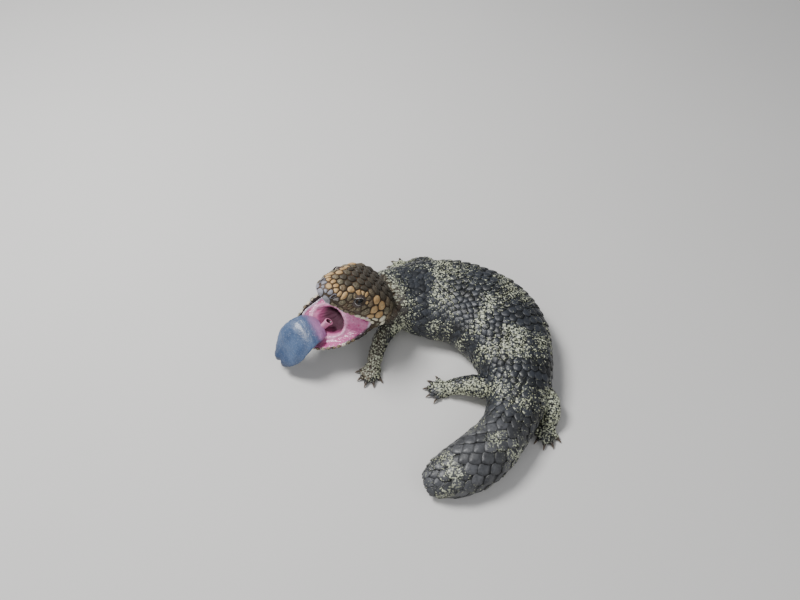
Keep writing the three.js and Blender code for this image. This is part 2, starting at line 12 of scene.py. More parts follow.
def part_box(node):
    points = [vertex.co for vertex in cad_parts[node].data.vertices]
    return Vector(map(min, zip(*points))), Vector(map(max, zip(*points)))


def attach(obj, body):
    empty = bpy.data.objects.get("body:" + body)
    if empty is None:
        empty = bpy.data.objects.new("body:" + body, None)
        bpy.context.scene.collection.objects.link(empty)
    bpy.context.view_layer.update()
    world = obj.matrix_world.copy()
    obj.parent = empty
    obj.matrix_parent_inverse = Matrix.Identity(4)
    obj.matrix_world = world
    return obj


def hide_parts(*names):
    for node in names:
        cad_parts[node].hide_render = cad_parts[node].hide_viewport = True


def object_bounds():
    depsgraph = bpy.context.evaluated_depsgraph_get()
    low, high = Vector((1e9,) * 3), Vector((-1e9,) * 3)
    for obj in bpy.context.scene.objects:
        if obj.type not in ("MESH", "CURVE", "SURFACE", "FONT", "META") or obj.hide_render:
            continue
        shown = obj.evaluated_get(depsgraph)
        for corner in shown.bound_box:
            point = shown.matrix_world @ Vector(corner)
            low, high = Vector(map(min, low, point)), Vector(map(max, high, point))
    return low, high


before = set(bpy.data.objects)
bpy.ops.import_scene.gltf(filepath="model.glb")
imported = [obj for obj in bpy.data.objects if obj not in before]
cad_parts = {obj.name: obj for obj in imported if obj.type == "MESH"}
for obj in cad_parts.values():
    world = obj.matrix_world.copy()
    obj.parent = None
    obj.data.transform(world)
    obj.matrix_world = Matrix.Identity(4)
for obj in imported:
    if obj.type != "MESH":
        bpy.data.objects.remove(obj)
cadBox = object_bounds()
mm = 0.001
rng = np.random.default_rng(5)

# The animal's pose and its sizes in millimetres, as in the solids
body = {
    "spine": [
        (-24, -20, 31), (-6, -15, 25.5), (9, -12, 20.5), (25, -10.5, 17.5), (46, -13, 17), (66, -24, 17),
        (79.5, -42, 16.5), (85, -62, 15.5), (86.5, -80, 14.5), (85, -97, 13.5), (79, -113, 13.5),
        (70, -127, 13), (57, -140, 12), (42, -149, 9.6), (24, -156, 7), (17, -158, 5),
    ],
    "profile": [  # share of the length, half width, height above the middle
        (0, 18, 13), (0.07, 23.5, 15.5), (0.14, 30, 17.5), (0.22, 34, 19), (0.3, 35, 20), (0.4, 35, 20.5),
        (0.48, 31.5, 19.5), (0.56, 26, 17.5), (0.64, 21.5, 15), (0.7, 17.5, 13), (0.76, 16.5, 12.5),
        (0.82, 17.5, 13), (0.88, 17, 12), (0.94, 14.5, 9.5), (0.975, 11, 7.5), (0.992, 7, 5), (1, 2, 1.5),
    ],
    "sink": 0.6,  # how far the belly may reach below the floor before it is pressed flat
}
head = {
    "place": (-28, -24.5, 30.8),
    "yaw": 40.7, "pitch": 45.7, "roll": -10.4, "gape": 55, "jawYaw": -3,  # degrees
    "hinge": 5,
    "lipTuck": 0.1,
    "profile": [  # distance from the base of the skull, half width, top, lip
        (-9, 14, 17, -2), (-4, 20.5, 22, -3.5), (3, 25, 25, -2.5), (10, 25.5, 26.5, 0.5), (17, 24, 27, 3),
        (27, 21.5, 27, 4), (36, 18.5, 25.5, 4.2), (44, 15.6, 23, 4.6), (51, 12.4, 19.5, 5),
        (57, 8.4, 15.5, 5.6), (61, 2.8, 10.8, 6.4),
    ],
    "jaw": [  # distance from the hinge, half width, depth
        (-9, 15, 10), (-3, 20, 13.5), (6, 23, 13.5), (17, 24, 11.5), (29, 23, 9), (40, 19, 7.5),
        (48, 13.5, 6), (54, 3.5, 4),
    ],
    "eye": (38.5, 13.6, 17), "eyeRadius": 3.7,
    "nostril": (56, 7.2, 12.6),
    "ear": (-2.5, 24, 5),
    "cheek": [  # distance from the middle, reach ahead of the hinge
        (0, 16.5), (8, 17.5), (12, 17), (16, 14), (20, 10.5), (23.2, 7),
    ],
}
legs = {
    "leg_front_left": {
        "joints": [(4, -20, 15), (-6, -34, 15.5), (-14, -45, 12.5), (-18, -56, 8.5), (-20, -64, 4.8)],
        "radii": [8.5, 8, 6.4, 5.3, 4.5], "heading": -112,
    },
    "leg_front_right": {
        "joints": [(16, 8, 15), (23, 20, 13), (23, 29, 10.5), (15, 32, 7.5), (7, 31, 4.8)],
        "radii": [8.5, 8, 6.4, 5.3, 4.5], "heading": 172,
    },
    "leg_hind_left": {
        "joints": [(78, -88, 12.5), (66, -87, 12), (54, -85, 11), (44, -84, 8), (36, -84, 5)],
        "radii": [10, 9, 8, 6.4, 5], "heading": 176,
    },
    "leg_hind_right": {
        "joints": [(93, -90, 12.5), (103, -94, 12.5), (109, -100, 10.5), (110, -107, 7.5), (107, -113, 5)],
        "radii": [10, 9.5, 8, 6.4, 5], "heading": -104,
    },
}
toes = {"length": 9, "spread": (-62, -30, 0, 28, 60)}


def profileOf(rows):  # smooth curve through rows of numbers, by their first column
    rows = np.array(rows, float)
    at = rows[:, 0]
    slope = np.zeros_like(rows)
    for i in range(len(rows)):
        a, b = max(i - 1, 0), min(i + 1, len(rows) - 1)
        slope[i] = (rows[b] - rows[a]) / (at[b] - at[a])

    def value(place):
        i = int(np.clip(np.searchsorted(at, place, "right") - 1, 0, len(at) - 2))
        span = at[i + 1] - at[i]
        t = min(max((place - at[i]) / span, 0), 1)
        a, b, da, db = rows[i], rows[i + 1], slope[i] * span, slope[i + 1] * span
        return (a + t * (da + t * (3 * (b - a) - 2 * da - db + t * (2 * (a - b) + da + db))))[1:]
    return value


def curveThrough(points, samples=400):  # centripetal curve through points, evenly stepped along its length
    p = np.array(points, float)
    p = np.vstack([2 * p[0] - p[1], p, 2 * p[-1] - p[-2]])
    out = []
    for s in np.linspace(0, len(points) - 1, samples + 1):
        i = min(int(s), len(points) - 2)
        w = s - i
        x0, x1, x2, x3 = p[i:i + 4]
        d0, d1, d2 = (max(np.linalg.norm(b - a), 1e-6) ** 0.5 for a, b in ((x0, x1), (x1, x2), (x2, x3)))
        t1 = ((x1 - x0) / d0 - (x2 - x0) / (d0 + d1) + (x2 - x1) / d1) * d1
        t2 = ((x2 - x1) / d1 - (x3 - x1) / (d1 + d2) + (x3 - x2) / d2) * d1
        out.append(x1 + w * (t1 + w * (3 * (x2 - x1) - 2 * t1 - t2 + w * (2 * (x1 - x2) + t1 + t2))))
    out = np.array(out)
    run = runAlong(out)

    def point(share):
        s = np.clip(share, 0, 1) * run[-1]
        return np.stack([np.interp(s, run, out[:, k]) for k in range(3)], -1)
    return point, run[-1]


def unit(v):
    return v / max(np.linalg.norm(v), 1e-9)


def runAlong(line):  # the length travelled at each point of a line
    return np.concatenate([[0], np.cumsum(np.linalg.norm(np.diff(line, axis=0), axis=1))])


bodyAt = profileOf(body["profile"])
headAt = profileOf(head["profile"])
jawAt = profileOf(head["jaw"])
spineAt, spineLength = curveThrough(body["spine"])


def turned(yaw, pitch, roll):  # columns: forward, left and up of the head
    yaw, pitch, roll = (math.radians(a) for a in (yaw, pitch, roll))
    turn = Matrix.Rotation(math.pi + yaw, 3, "Z") @ Matrix.Rotation(-pitch, 3, "Y")
    return np.array(turn @ Matrix.Rotation(roll, 3, "X"))


headTurn = turned(head["yaw"], head["pitch"], head["roll"])
jawTurn = np.array(
    Matrix.Rotation(math.radians(head["gape"]), 3, "Y") @ Matrix.Rotation(math.radians(head["jawYaw"]), 3, "Z"))


def fromHead(points):
    return np.asarray(points, float) @ headTurn.T + np.array(head["place"])


def fromJaw(points):
    return fromHead(np.asarray(points, float) @ jawTurn.T + np.array([head["hinge"], 0, 0]))


def headSpot(name, side):  # an eye's, nostril's or ear's place on one side
    x, y, z = head[name]
    return fromHead([x, side * y, z])


# Where the solids were set down: their eyes, against the eyes of this pose
eyeMiddles = [headSpot("eye", side) for side in (1, -1)]
cadEyes = [np.mean(np.array(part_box(n)), axis=0) / mm for n in ("eye_left", "eye_right")]
setDown = np.mean(cadEyes, axis=0) - np.mean(eyeMiddles, axis=0)
setDown[2] = 0
print("set down by", setDown.round(2))


def placed(points):  # millimetres of the pose to metres of the frame
    return (np.asarray(points, float) + setDown) * mm


def linked(name, data):
    thing = bpy.data.objects.new(name, data)
    bpy.context.scene.collection.objects.link(thing)
    return thing


def meshOf(name, points, faces):
    mesh = bpy.data.meshes.new(name)
    mesh.from_pydata([tuple(p) for p in placed(points)], [], [tuple(int(i) for i in f) for f in faces])
    mesh.validate()
    mesh.shade_smooth()
    return linked(name, mesh)


def applied(thing, name):  # the thing with its modifiers worked into its mesh
    old = thing.data
    result = bpy.data.meshes.new_from_object(thing.evaluated_get(bpy.context.evaluated_depsgraph_get()))
    thing.modifiers.clear()
    thing.data = result
    bpy.data.meshes.remove(old)
    result.name = name
    return thing


def finer(thing):
    divide = thing.modifiers.new("finer", "SUBSURF")
    divide.levels = divide.render_levels = 1
    return thing


def gridFaces(rows, count, closed=True, start=0):
    faces = []
    for r in range(rows - 1):
        for k in range(count if closed else count - 1):
            a, b = r * count + k, r * count + (k + 1) % count
            faces.append((start + a, start + b, start + b + count, start + a + count))
    return faces


def tubeMesh(rings):  # closed skin through rings, with a fan over each end
    count = len(rings[0])
    points = np.vstack(rings)
    faces = gridFaces(len(rings), count)
    for ring, start, turnOver in ((rings[0], 0, True), (rings[-1], (len(rings) - 1) * count, False)):
        points = np.vstack([points, np.mean(ring, axis=0)])
        for k in range(count):
            a, b = start + k, start + (k + 1) % count
            faces.append((b, a, len(points) - 1) if turnOver else (a, b, len(points) - 1))
    return points, faces


def joined(parts):
    points, faces, start = [], [], 0
    for p, f in parts:
        points.append(p)
        faces += [tuple(i + start for i in face) for face in f]
        start += len(p)
    return np.vstack(points), faces


# Skin of the trunk and tail: angle 0 is the left side, a quarter turn the middle of the back
def spineFrame(share):
    e = 0.002
    low, high = max(share - e, 0), min(share + e, 1)
    back = unit(spineAt(high) - spineAt(low))
    left = unit(-np.cross((0, 0, 1), back))
    return spineAt(share), back, left, unit(np.cross(left, back))


def skinPoint(share, angle):
    middle, back, left, up = spineFrame(share)
    width, height = bodyAt(share)
    depth = min(height, max(middle[2] + body["sink"], height * 0.8))
    s, c = math.sin(angle), math.cos(angle)
    across = math.copysign(abs(c) ** (0.7 if s < 0 else 0.92), c)
    rise = -depth * abs(s) ** 0.75 if s < 0 else height * s ** 0.9
    return middle + left * width * across + up * rise


def bodyTube(start, end, steps, around=40):
    shares = np.linspace(start, end, steps)
    angles = np.linspace(0, 2 * math.pi, around, endpoint=False)
    return tubeMesh([np.array([skinPoint(s, a) for a in angles]) for s in shares])


# Skin of the head: angle 0 is the left lip, a quarter turn the middle of the crown
def headPoint(x, angle):
    width, top, lip = headAt(x)
    rise = abs(math.sin(angle)) ** 0.72
    tuck = 1 - head["lipTuck"] * max(0, 1 - rise / 0.3)
    across = math.copysign(abs(math.cos(angle)) ** 0.68, math.cos(angle)) * tuck
    return np.array([x, width * across, lip + (top - lip) * rise])


def hollow(width, depth, lipWidth, count=9):  # across a mouth's roof or floor, from one lip to the other
    sides = np.linspace(1, -1, count)
    drop = depth * np.clip((1 - np.abs(sides)) * width / lipWidth - 0.6, 0, 1) ** 0.7
    return [(width * s, d) for s, d in zip(sides, drop)]


def headTube():
    rings = []
    for x in [-9, -7, -4, -1, 3, 7, 11, 15, 19, 24, 29, 34, 39, 44, 48, 52, 55, 57.5, 59.5, 60.6, 61]:
        width, top, lip = headAt(x)
        ring = [headPoint(x, a) for a in np.linspace(0, math.pi, 36)]
        deep = 4.2 * float(np.clip((59 - x) / 8, 0, 1)) * float(np.clip((x - 8) / 6, 0, 1))
        roof = hollow(width * (1 - head["lipTuck"]), deep, 3.4, 13)
        ring += [np.array([x, y, lip + d]) for y, d in roof[::-1][1:-1]]
        rings.append(fromHead(ring))
    return tubeMesh(rings)


def jawPoint(x, angle):  # angle 0 is the left lip, a quarter turn the middle of the chin
    width, depth = jawAt(x)
    across = math.copysign(abs(math.cos(angle)) ** 0.75, math.cos(angle))
    return np.array([x, width * across, -depth * abs(math.sin(angle)) ** 0.8])


def jawTube():
    rings = []
    for x in [-9, -6, -2, 2, 6, 10, 15, 20, 25, 30, 35, 40, 44, 48, 51, 53, 54]:
        width, depth = jawAt(x)
        ring = [jawPoint(x, a) for a in np.linspace(0, math.pi, 24)]
        deep = 3.4 * float(np.clip((53 - x) / 8, 0, 1)) * float(np.clip((x - 4) / 6, 0, 1))
        ring += [np.array([x, y, -d]) for y, d in hollow(width, deep, 3.2, 13)[::-1][1:-1]]
        rings.append(fromJaw(ring))
    return tubeMesh(rings)


def cheekWedge():  # flesh stretched between the jaws at the sides, behind the corners of the mouth
    rings = []
    gape = math.radians(head["gape"])
    reachAt = profileOf(head["cheek"])
    for y in np.linspace(-23.2, 23.2, 31):
        reach = float(reachAt(abs(y))[0])
        arc = []
        for a in np.linspace(-0.1, gape + 0.1, 9):
            stretch = reach * (math.cos(gape / 2) / math.cos(a - gape / 2)) ** 0.8
            arc.append((stretch * math.cos(a), -stretch * math.sin(a)))
        arc += [(-4 * math.cos(gape / 2), 4 * math.sin(gape / 2))]
        rings.append(fromHead([[head["hinge"] + x, y, z] for x, z in arc]))
    return tubeMesh(rings)


def limbTube(joints, radii, around=20, steps=24):
    along, _ = curveThrough(joints, 80)
    rings = []
    for t in np.linspace(0, 1, steps):
        forward = unit(along(min(t + 0.01, 1)) - along(max(t - 0.01, 0)))
        side = unit(np.cross((0, 0, 1), forward))
        up = np.cross(forward, side)
        radius = np.interp(t, np.linspace(0, 1, len(radii)), radii)
        angles = np.linspace(0, 2 * math.pi, around, endpoint=False)
        rings.append(np.array([along(t) + radius * (side * math.cos(a) + up * math.sin(a)) for a in angles]))
    return tubeMesh(rings)


def toeLines(leg):
    heading = math.radians(leg["heading"])
    ankle = np.array(leg["joints"][-1], float)
    forward = np.array([math.cos(heading), math.sin(heading), 0])
    pad = np.array([ankle[0], ankle[1], 2.4]) + forward * 3.5
    lines = []
    for spread in toes["spread"]:
        turn = heading + math.radians(spread)
        along = np.array([math.cos(turn), math.sin(turn), 0])
        length = toes["length"] * (1 - abs(spread) / 250)
        lines.append((pad, along, length))
    return lines


def ball(middle, sizes, rings=12, around=18):
    points = []
    for i in range(1, rings):
        polar = math.pi * i / rings
        for k in range(around):
            a = 2 * math.pi * k / around
            points.append((math.sin(polar) * math.cos(a), math.sin(polar) * math.sin(a), math.cos(polar)))
    points = np.array(points) * np.array(sizes) + np.array(middle)
    faces = gridFaces(rings - 1, around)
    top, bottom = len(points), len(points) + 1
    points = np.vstack([points, [middle + np.array([0, 0, sizes[2]]), middle - np.array([0, 0, sizes[2]])]])
    faces = [f[::-1] for f in faces]
    faces += [(k, (k + 1) % around, top) for k in range(around)]
    last = (rings - 2) * around
    faces += [(last + (k + 1) % around, last + k, bottom) for k in range(around)]
    return points, faces


def legParts(leg):
    parts = [limbTube(leg["joints"], leg["radii"])]
    for pad, along, length in toeLines(leg):
        tip = [pad + along * 2, pad + along * (3 + length * 0.6), pad + along * (3 + length)]
        tip = [np.array([p[0], p[1], z]) for p, z in zip(tip, (2.8, 2.6, 2.0))]
        parts.append(limbTube(tip, [2.6, 2.2, 1.5], 12, 10))
    parts.append(ball(toeLines(leg)[0][0], (6.4, 6.4, 4.2)))
    return parts


# One skin over all the flesh: the parts are melted together, smoothed and marked
skinValues = {"voxel": 1.05, "smoothing": 6}


def melt(parts, voxel, smoothing, name):
    points, faces = joined(parts)
    thing = meshOf(name, points, faces)
    remesh = thing.modifiers.new("melt", "REMESH")
    remesh.mode = "VOXEL"
    remesh.voxel_size = voxel * mm
    soften = thing.modifiers.new("soften", "SMOOTH")
    soften.iterations = smoothing
    soften.factor = 0.5
    return applied(thing, name)


def vectorsOf(rows, label):  # one vector of each vertex or face
    values = np.empty(len(rows) * 3)
    rows.foreach_get(label, values)
    return values.reshape(-1, 3)


def coordinates(mesh):
    return vectorsOf(mesh.vertices, "co")


def setCoordinates(mesh, points):
    mesh.vertices.foreach_set("co", np.ascontiguousarray(points, np.float32).ravel())
    mesh.update()


def cornersOf(mesh):  # the vertex at each face's corners
    corners = np.empty(len(mesh.loops), np.int64)
    mesh.loops.foreach_get("vertex_index", corners)
    return corners


def setUnwrap(mesh, places):
    mesh.uv_layers.new(name="OFBake").data.foreach_set("uv", places.astype(np.float32).ravel())


def treeOf(points):  # for finding the nearest of many points
    tree = KDTree(len(points))
    for i, p in enumerate(points):
        tree.insert(p, i)
    tree.balance()
    return tree


boxEase = (0.0015, 0.0015, 0.0011)  # how near the overall size the surface starts to be pressed flat, m


def withinBox(points, inset=0.0):  # presses what is past the overall size or under the floor softly back
    for axis in range(3):
        ease = boxEase[axis]
        for sign, limit in ((1, cadBox[1][axis] - inset), (-1, -cadBox[0][axis] - inset)):
            over = np.maximum(sign * points[:, axis] - (limit - ease), 0)
            inside = sign * (limit - ease + ease * (1 - np.exp(-over / ease)))
            points[:, axis] = np.where(over > 0, inside, points[:, axis])
    return points


def setFloat(mesh, name, values):
    layer = mesh.attributes.new(name, "FLOAT", "POINT")
    layer.data.foreach_set("value", np.asarray(values, np.float32))


shares = np.linspace(0, 1, 201)
spineDots = spineAt(shares)


def nearestShare(points):  # share of the body's length beside each point of the pose
    flat = points[:, None, :2] - spineDots[None, :, :2]
    return shares[np.argmin((flat ** 2).sum(2), axis=1)]


def inHead(points):
    return (points - np.array(head["place"])) @ headTurn


def toPose(mesh):
    return coordinates(mesh) / mm - setDown


def smoothStep(a, b, x):
    t = np.clip((x - a) / (b - a), 0, 1)
    return t * t * (3 - 2 * t)


def headShare(points):  # 1 on the head and jaw, 0 on the neck and body
    h = inHead(points)
    near = np.linalg.norm(h - np.array([25, 0, -5]), axis=1) < 60
    # the lower jaw is marked as the body is
    chin = smoothStep(0, 5, -h[:, 2] - 0.3 * (h[:, 0] - 5)) * smoothStep(4, 9, h[:, 0])
    return smoothStep(-14, -2, h[:, 0] + 0.25 * np.minimum(h[:, 2], 0)) * near * (1 - 0.85 * chin)


def markings(mesh):  # what the shaders read: along the body, head, limb and belly
    p = toPose(mesh)
    share = np.concatenate([nearestShare(p[i:i + 20000]) for i in range(0, len(p), 20000)])
    limb = np.zeros(len(p))
    for leg in legs.values():
        along, _ = curveThrough(leg["joints"], 60)
        dots = along(np.linspace(0.3, 1, 14))
        near = np.min(np.linalg.norm(p[:, None, :] - dots[None, :, :], axis=2), axis=1)
        limb = np.maximum(limb, 1 - smoothStep(8, 14, near))
    setFloat(mesh, "along", share)
    setFloat(mesh, "headness", headShare(p))
    setFloat(mesh, "limbness", limb)
    setFloat(mesh, "low", 1 - smoothStep(4, 15, p[:, 2]))


parts = [bodyTube(0.0, 1.0, 90), headTube(), jawTube(), cheekWedge()]
for leg in legs.values():
    parts += legParts(leg)
skin = melt(parts, skinValues["voxel"], skinValues["smoothing"], "skin")

# The throat: a hollow pressed into the back of the open mouth, seen from where the gape faces
throat = {
    "middle": (27, 1, 0.5), "faces": (0.785, 0.407, 0.467), "halfWidth": 12.6, "halfHeight": 11, "depth": 13,
}


def throatReach(h):  # 0 in the middle of the throat, 1 at its rim, for points in the head's directions
    middle = jawTurn @ np.array(throat["middle"]) + np.array([head["hinge"], 0, 0])
    axis = unit(np.array(throat["faces"]))
    side = unit(np.cross((0, 0, 1), axis))
    up = np.cross(axis, side)
    away = h - middle
    return np.sqrt(((away @ side) / throat["halfWidth"]) ** 2 + ((away @ up) / throat["halfHeight"]) ** 2)


def jawPlace(h):
    return (h - np.array([head["hinge"], 0, 0])) @ jawTurn


def headLow(x):  # height of the lip's edge and of the shields' lower rows
    return np.interp(x, lipTable[:, 0], lipTable[:, 3])


lipTable = np.array([[x, *headAt(x)] for x in np.linspace(-9, 61, 141)])
jawTable = np.array([[x, *jawAt(x)] for x in np.linspace(-9, 54, 127)])


def inMouth(points):  # true inside the gape, where the lining goes
    h = inHead(points)
    j = jawPlace(h)
    rim = np.interp(j[:, 0], jawTable[:, 0], jawTable[:, 1])
    width = np.interp(h[:, 0], lipTable[:, 0], lipTable[:, 1])
    lip = headLow(h[:, 0])
    ahead = (h[:, 0] > 2) & (h[:, 0] < 60) & (j[:, 0] < 53)
    web = 23.4 * ((h[:, 0] < 24) & (j[:, 2] > -1.2))  # the cheeks' own half width
    underRoof = (h[:, 2] < lip + 4.7) & (np.abs(h[:, 1]) < np.maximum(width * 0.93, web))
    overFloor = (j[:, 2] > -4.4) & (np.abs(h[:, 1]) < np.maximum(rim + 0.3, web))
    return ahead & underRoof & overFloor


co = coordinates(skin.data)
pose = co / mm - setDown
mouthMask = inMouth(pose).astype(float)
throatMask = np.where(mouthMask > 0.5, throatReach(inHead(pose)), 9.0)
inward = headTurn @ (jawTurn @ unit(np.array([-0.93, 0, -0.36])))
rimEdges = np.array([e.vertices[:] for e in skin.data.edges])
rimEdges = rimEdges[mouthMask[rimEdges[:, 0]] != mouthMask[rimEdges[:, 1]]]
mouthRim = pose[rimEdges[:, 0]]
dent = throat["depth"] * (1 - smoothStep(0.62, 1.0, throatMask))
co += (dent[:, None] * inward) * mm
co[:, 2] = np.maximum(co[:, 2], 0.0)
setCoordinates(skin.data, co)
skin.data.shade_smooth()
markings(skin.data)
print("skin", len(skin.data.polygons))


# Short ways to build a node tree: each gives back a node or an output socket
def addNode(tree, kind, inputs=None, **settings):
    node = tree.nodes.new(kind)
    for key, value in settings.items():
        setattr(node, key, value)
    for key, value in (inputs or {}).items():
        if isinstance(value, bpy.types.NodeSocket):
            tree.links.new(value, node.inputs[key])
        else:
            node.inputs[key].default_value = value
    return node


class Paint:
    def __init__(self, tree, vector):
        self.tree, self.vector = tree, vector

    def calc(self, operation, *values):
        return addNode(self.tree, "ShaderNodeMath", dict(enumerate(values)), operation=operation).outputs[0]

    def times(self, a, b):
        return self.calc("MULTIPLY", a, b)

    def plus(self, a, b):
        return self.calc("ADD", a, b)

    def scaled(self, value, factor, offset):
        return self.calc("MULTIPLY_ADD", value, factor, offset)

    def inverse(self, value):
        return self.calc("SUBTRACT", 1.0, value)

    def mixed(self, factor, a, b):  # between two colours, each a socket or a plain colour
        a, b = (c if isinstance(c, bpy.types.NodeSocket) else (*c, 1) for c in (a, b))
        node = addNode(self.tree, "ShaderNodeMix", data_type="RGBA")
        for index, value in ((0, factor), (6, a), (7, b)):
            if isinstance(value, bpy.types.NodeSocket):
                self.tree.links.new(value, node.inputs[index])
            else:
                node.inputs[index].default_value = value
        return node.outputs[2]

    def noise(self, scale, detail=3.0, rough=0.55):
        inputs = {"Vector": self.vector, "Scale": scale, "Detail": detail, "Roughness": rough}
        return addNode(self.tree, "ShaderNodeTexNoise", inputs).outputs["Fac"]

    def cells(self, scale):  # distance from the nearest of many scattered points
        return addNode(self.tree, "ShaderNodeTexVoronoi", {"Vector": self.vector, "Scale": scale}).outputs[0]

    def ramp(self, value, low, high):  # a soft step from 0 to 1
        inputs = {0: value, 1: low, 2: high, 3: 0.0, 4: 1.0}
        return addNode(self.tree, "ShaderNodeMapRange", inputs, interpolation_type="SMOOTHSTEP").outputs[0]

    def attributes(self, *names):
        return [
            addNode(
                self.tree, "ShaderNodeAttribute", attribute_name=n, attribute_type="GEOMETRY").outputs["Fac"]
            for n in names
        ]

    def group(self, group, **inputs):
        return addNode(
            self.tree, "ShaderNodeGroup", {"Vector": self.vector, **inputs}, node_tree=group).outputs[0]


class Coating(Paint):  # a material
    def __init__(self, name, **sockets):
        self.material = bpy.data.materials.new(name)
        self.material.use_nodes = True
        tree = self.material.node_tree
        super().__init__(tree, addNode(tree, "ShaderNodeTexCoord").outputs["Object"])
        self.shader = tree.nodes["Principled BSDF"]
        for key, value in sockets.items():
            self.shader.inputs[key.replace("_", " ")].default_value = value

    def into(self, socket, value):
        self.tree.links.new(value, self.shader.inputs[socket])

    def bump(self, height, strength, distance):
        node = addNode(
            self.tree, "ShaderNodeBump", {"Height": height, "Strength": strength, "Distance": distance})
        self.into("Normal", node.outputs[0])


def startGroup(name, output, **values):  # a shader group with a vector, some numbers and one output
    group = bpy.data.node_groups.new(name, "ShaderNodeTree")
    group.interface.new_socket(name="Vector", in_out="INPUT", socket_type="NodeSocketVector")
    for label, value in values.items():
        socket = group.interface.new_socket(name=label, in_out="INPUT", socket_type="NodeSocketFloat")
        socket.default_value = value
    group.interface.new_socket(name=output, in_out="OUTPUT", socket_type="NodeSocketFloat")
    given = group.nodes.new("NodeGroupInput").outputs
    return Paint(group, given["Vector"]), given, group.nodes.new("NodeGroupOutput").inputs[0]


speckleValues = {
    "bands": 7.0, "bandShare": 0.15, "low": 0.13, "limb": 0.16, "blot": 62.0, "fleck": 760.0,
    "patch": (0.22, 0.86), "level": (0.68, 0.2),
}


def specklesGroup():  # pale lichen-like flecks gathered into ragged bands across a near-black hide
    v = speckleValues
    group, given, out = startGroup("pale speckles", "Mask", Along=0.0, Low=0.0, Limb=0.0)
    sway = group.times(group.noise(30.0, 2.0), 8.0)
    wave = group.calc("SINE", group.scaled(given["Along"], v["bands"] * 6.283, sway))
    patch = group.plus(group.times(wave, v["bandShare"]), group.noise(v["blot"], 4.0, 0.65))
    patch = group.plus(patch, group.times(given["Low"], v["low"]))
    patch = group.plus(patch, group.times(given["Limb"], v["limb"]))
    patch = group.ramp(patch, *v["patch"])
    bare, spread = v["level"]
    level = group.calc("SUBTRACT", bare, group.times(patch, spread))
    mask = group.ramp(group.noise(v["fleck"], 3.0, 0.6), level, group.plus(level, 0.05))
    group.tree.links.new(mask, out)
    return group.tree


def grainGroup():  # fine wrinkles and grain, as a height
    group, given, out = startGroup("fine grain", "Height", Grain=900.0, Wrinkle=260.0)
    fine = group.times(group.noise(given["Grain"], 3.0, 0.6), 0.5)
    group.tree.links.new(group.plus(fine, group.times(group.cells(given["Wrinkle"]), 0.8)), out)
    return group.tree


speckles = specklesGroup()
grain = grainGroup()

hideColours = {
    "seam": (0.008, 0.008, 0.008), "dark": (0.009, 0.010, 0.011), "blue": (0.029, 0.033, 0.041),
    "tail": (0.105, 0.106, 0.112), "fleck": (0.46, 0.46, 0.25), "fleckPale": (0.62, 0.66, 0.53),
    "brown": (0.050, 0.034, 0.020), "rust": (0.085, 0.046, 0.023), "olive": (0.17, 0.15, 0.10),
}


def hideMaterial(name, seamed, wrinkle=260.0):  # the hide and its scales, with the same markings on both
    c = hideColours
    m = Coating(name, Roughness=0.5, Specular_IOR_Level=0.4)
    along, tone, low, limb, headness = m.attributes("along", "tone", "low", "limbness", "headness")
    marks = m.group(speckles, Along=along, Low=low, Limb=limb)
    tail = m.ramp(along, 0.66, 0.8)
    mask = m.times(marks, m.inverse(m.times(tail, m.ramp(m.noise(38.0), 0.62, 0.42))))
    base = m.mixed(m.ramp(m.scaled(tone, 0.5, m.noise(40.0)), 0.35, 0.95), c["dark"], c["blue"])
    base = m.mixed(m.times(tail, m.scaled(tone, 0.5, 0.35)), base, c["tail"])
    base = m.mixed(m.times(m.ramp(m.noise(420.0), 0.35, 0.7), 0.45), base, c["dark"])
    headTint = m.mixed(m.ramp(m.noise(110.0), 0.35, 0.7), c["brown"], c["rust"])
    if seamed:
        seam = m.times(*m.attributes("rim"), 0.85)
        base = m.mixed(seam, base, c["seam"])
        headTint = m.mixed(m.times(tone, 0.85), headTint, c["olive"])
        headTint = m.mixed(m.times(marks, 0.6), headTint, c["fleckPale"])
        headTint = m.mixed(seam, headTint, c["seam"])
    else:
        base = m.mixed(0.55, base, c["seam"])
    base = m.mixed(m.times(mask, 0.92), base, m.mixed(m.noise(60.0), c["fleck"], c["fleckPale"]))
    m.into("Base Color", m.mixed(headness, base, headTint))
    m.into("Roughness", m.scaled(m.noise(500.0), 0.4, 0.22))
    m.bump(m.group(grain, Grain=1500.0, Wrinkle=wrinkle), 0.35, 0.0006)
    return m.material


hideSkin = hideMaterial("hide between the scales", False, 500.0)
hideScale = hideMaterial("scales", True)
skin.data.materials.append(hideSkin)
print("hide materials made")

setCoordinates(skin.data, withinBox(coordinates(skin.data), 0.0005))
skinTree = BVHTree.FromPolygons(
    [v.co.copy() for v in skin.data.vertices], [tuple(p.vertices) for p in skin.data.polygons])


def ontoSkin(points, outs, reach=5.0):  # the same places on the melted skin, with its slope; lost ones go
    kept = []
    for i, (p, n) in enumerate(zip(placed(points), outs)):
        start = Vector(p + n * reach * mm)
        hit, normal, _, _ = skinTree.ray_cast(start, Vector(-n), 2 * reach * mm)
        if hit is not None and normal.dot(Vector(n)) > 0.35:
            kept.append((i, np.array(hit), np.array(normal)))
    return kept


# A scale: its outline from the root back to a blunt point, low in front, raised and free behind, keeled
scaleOutlines = {
    "trunk": [(-0.5, 0), (-0.42, 0.26), (-0.2, 0.44), (0.1, 0.5), (0.34, 0.4), (0.5, 0.18), (0.56, 0)],
    "tail": [(-0.5, 0), (-0.4, 0.27), (-0.16, 0.46), (0.12, 0.5), (0.36, 0.33), (0.52, 0.13), (0.58, 0)],
    "limb": [(-0.5, 0), (-0.34, 0.36), (0.05, 0.5), (0.4, 0.34), (0.54, 0)],
}


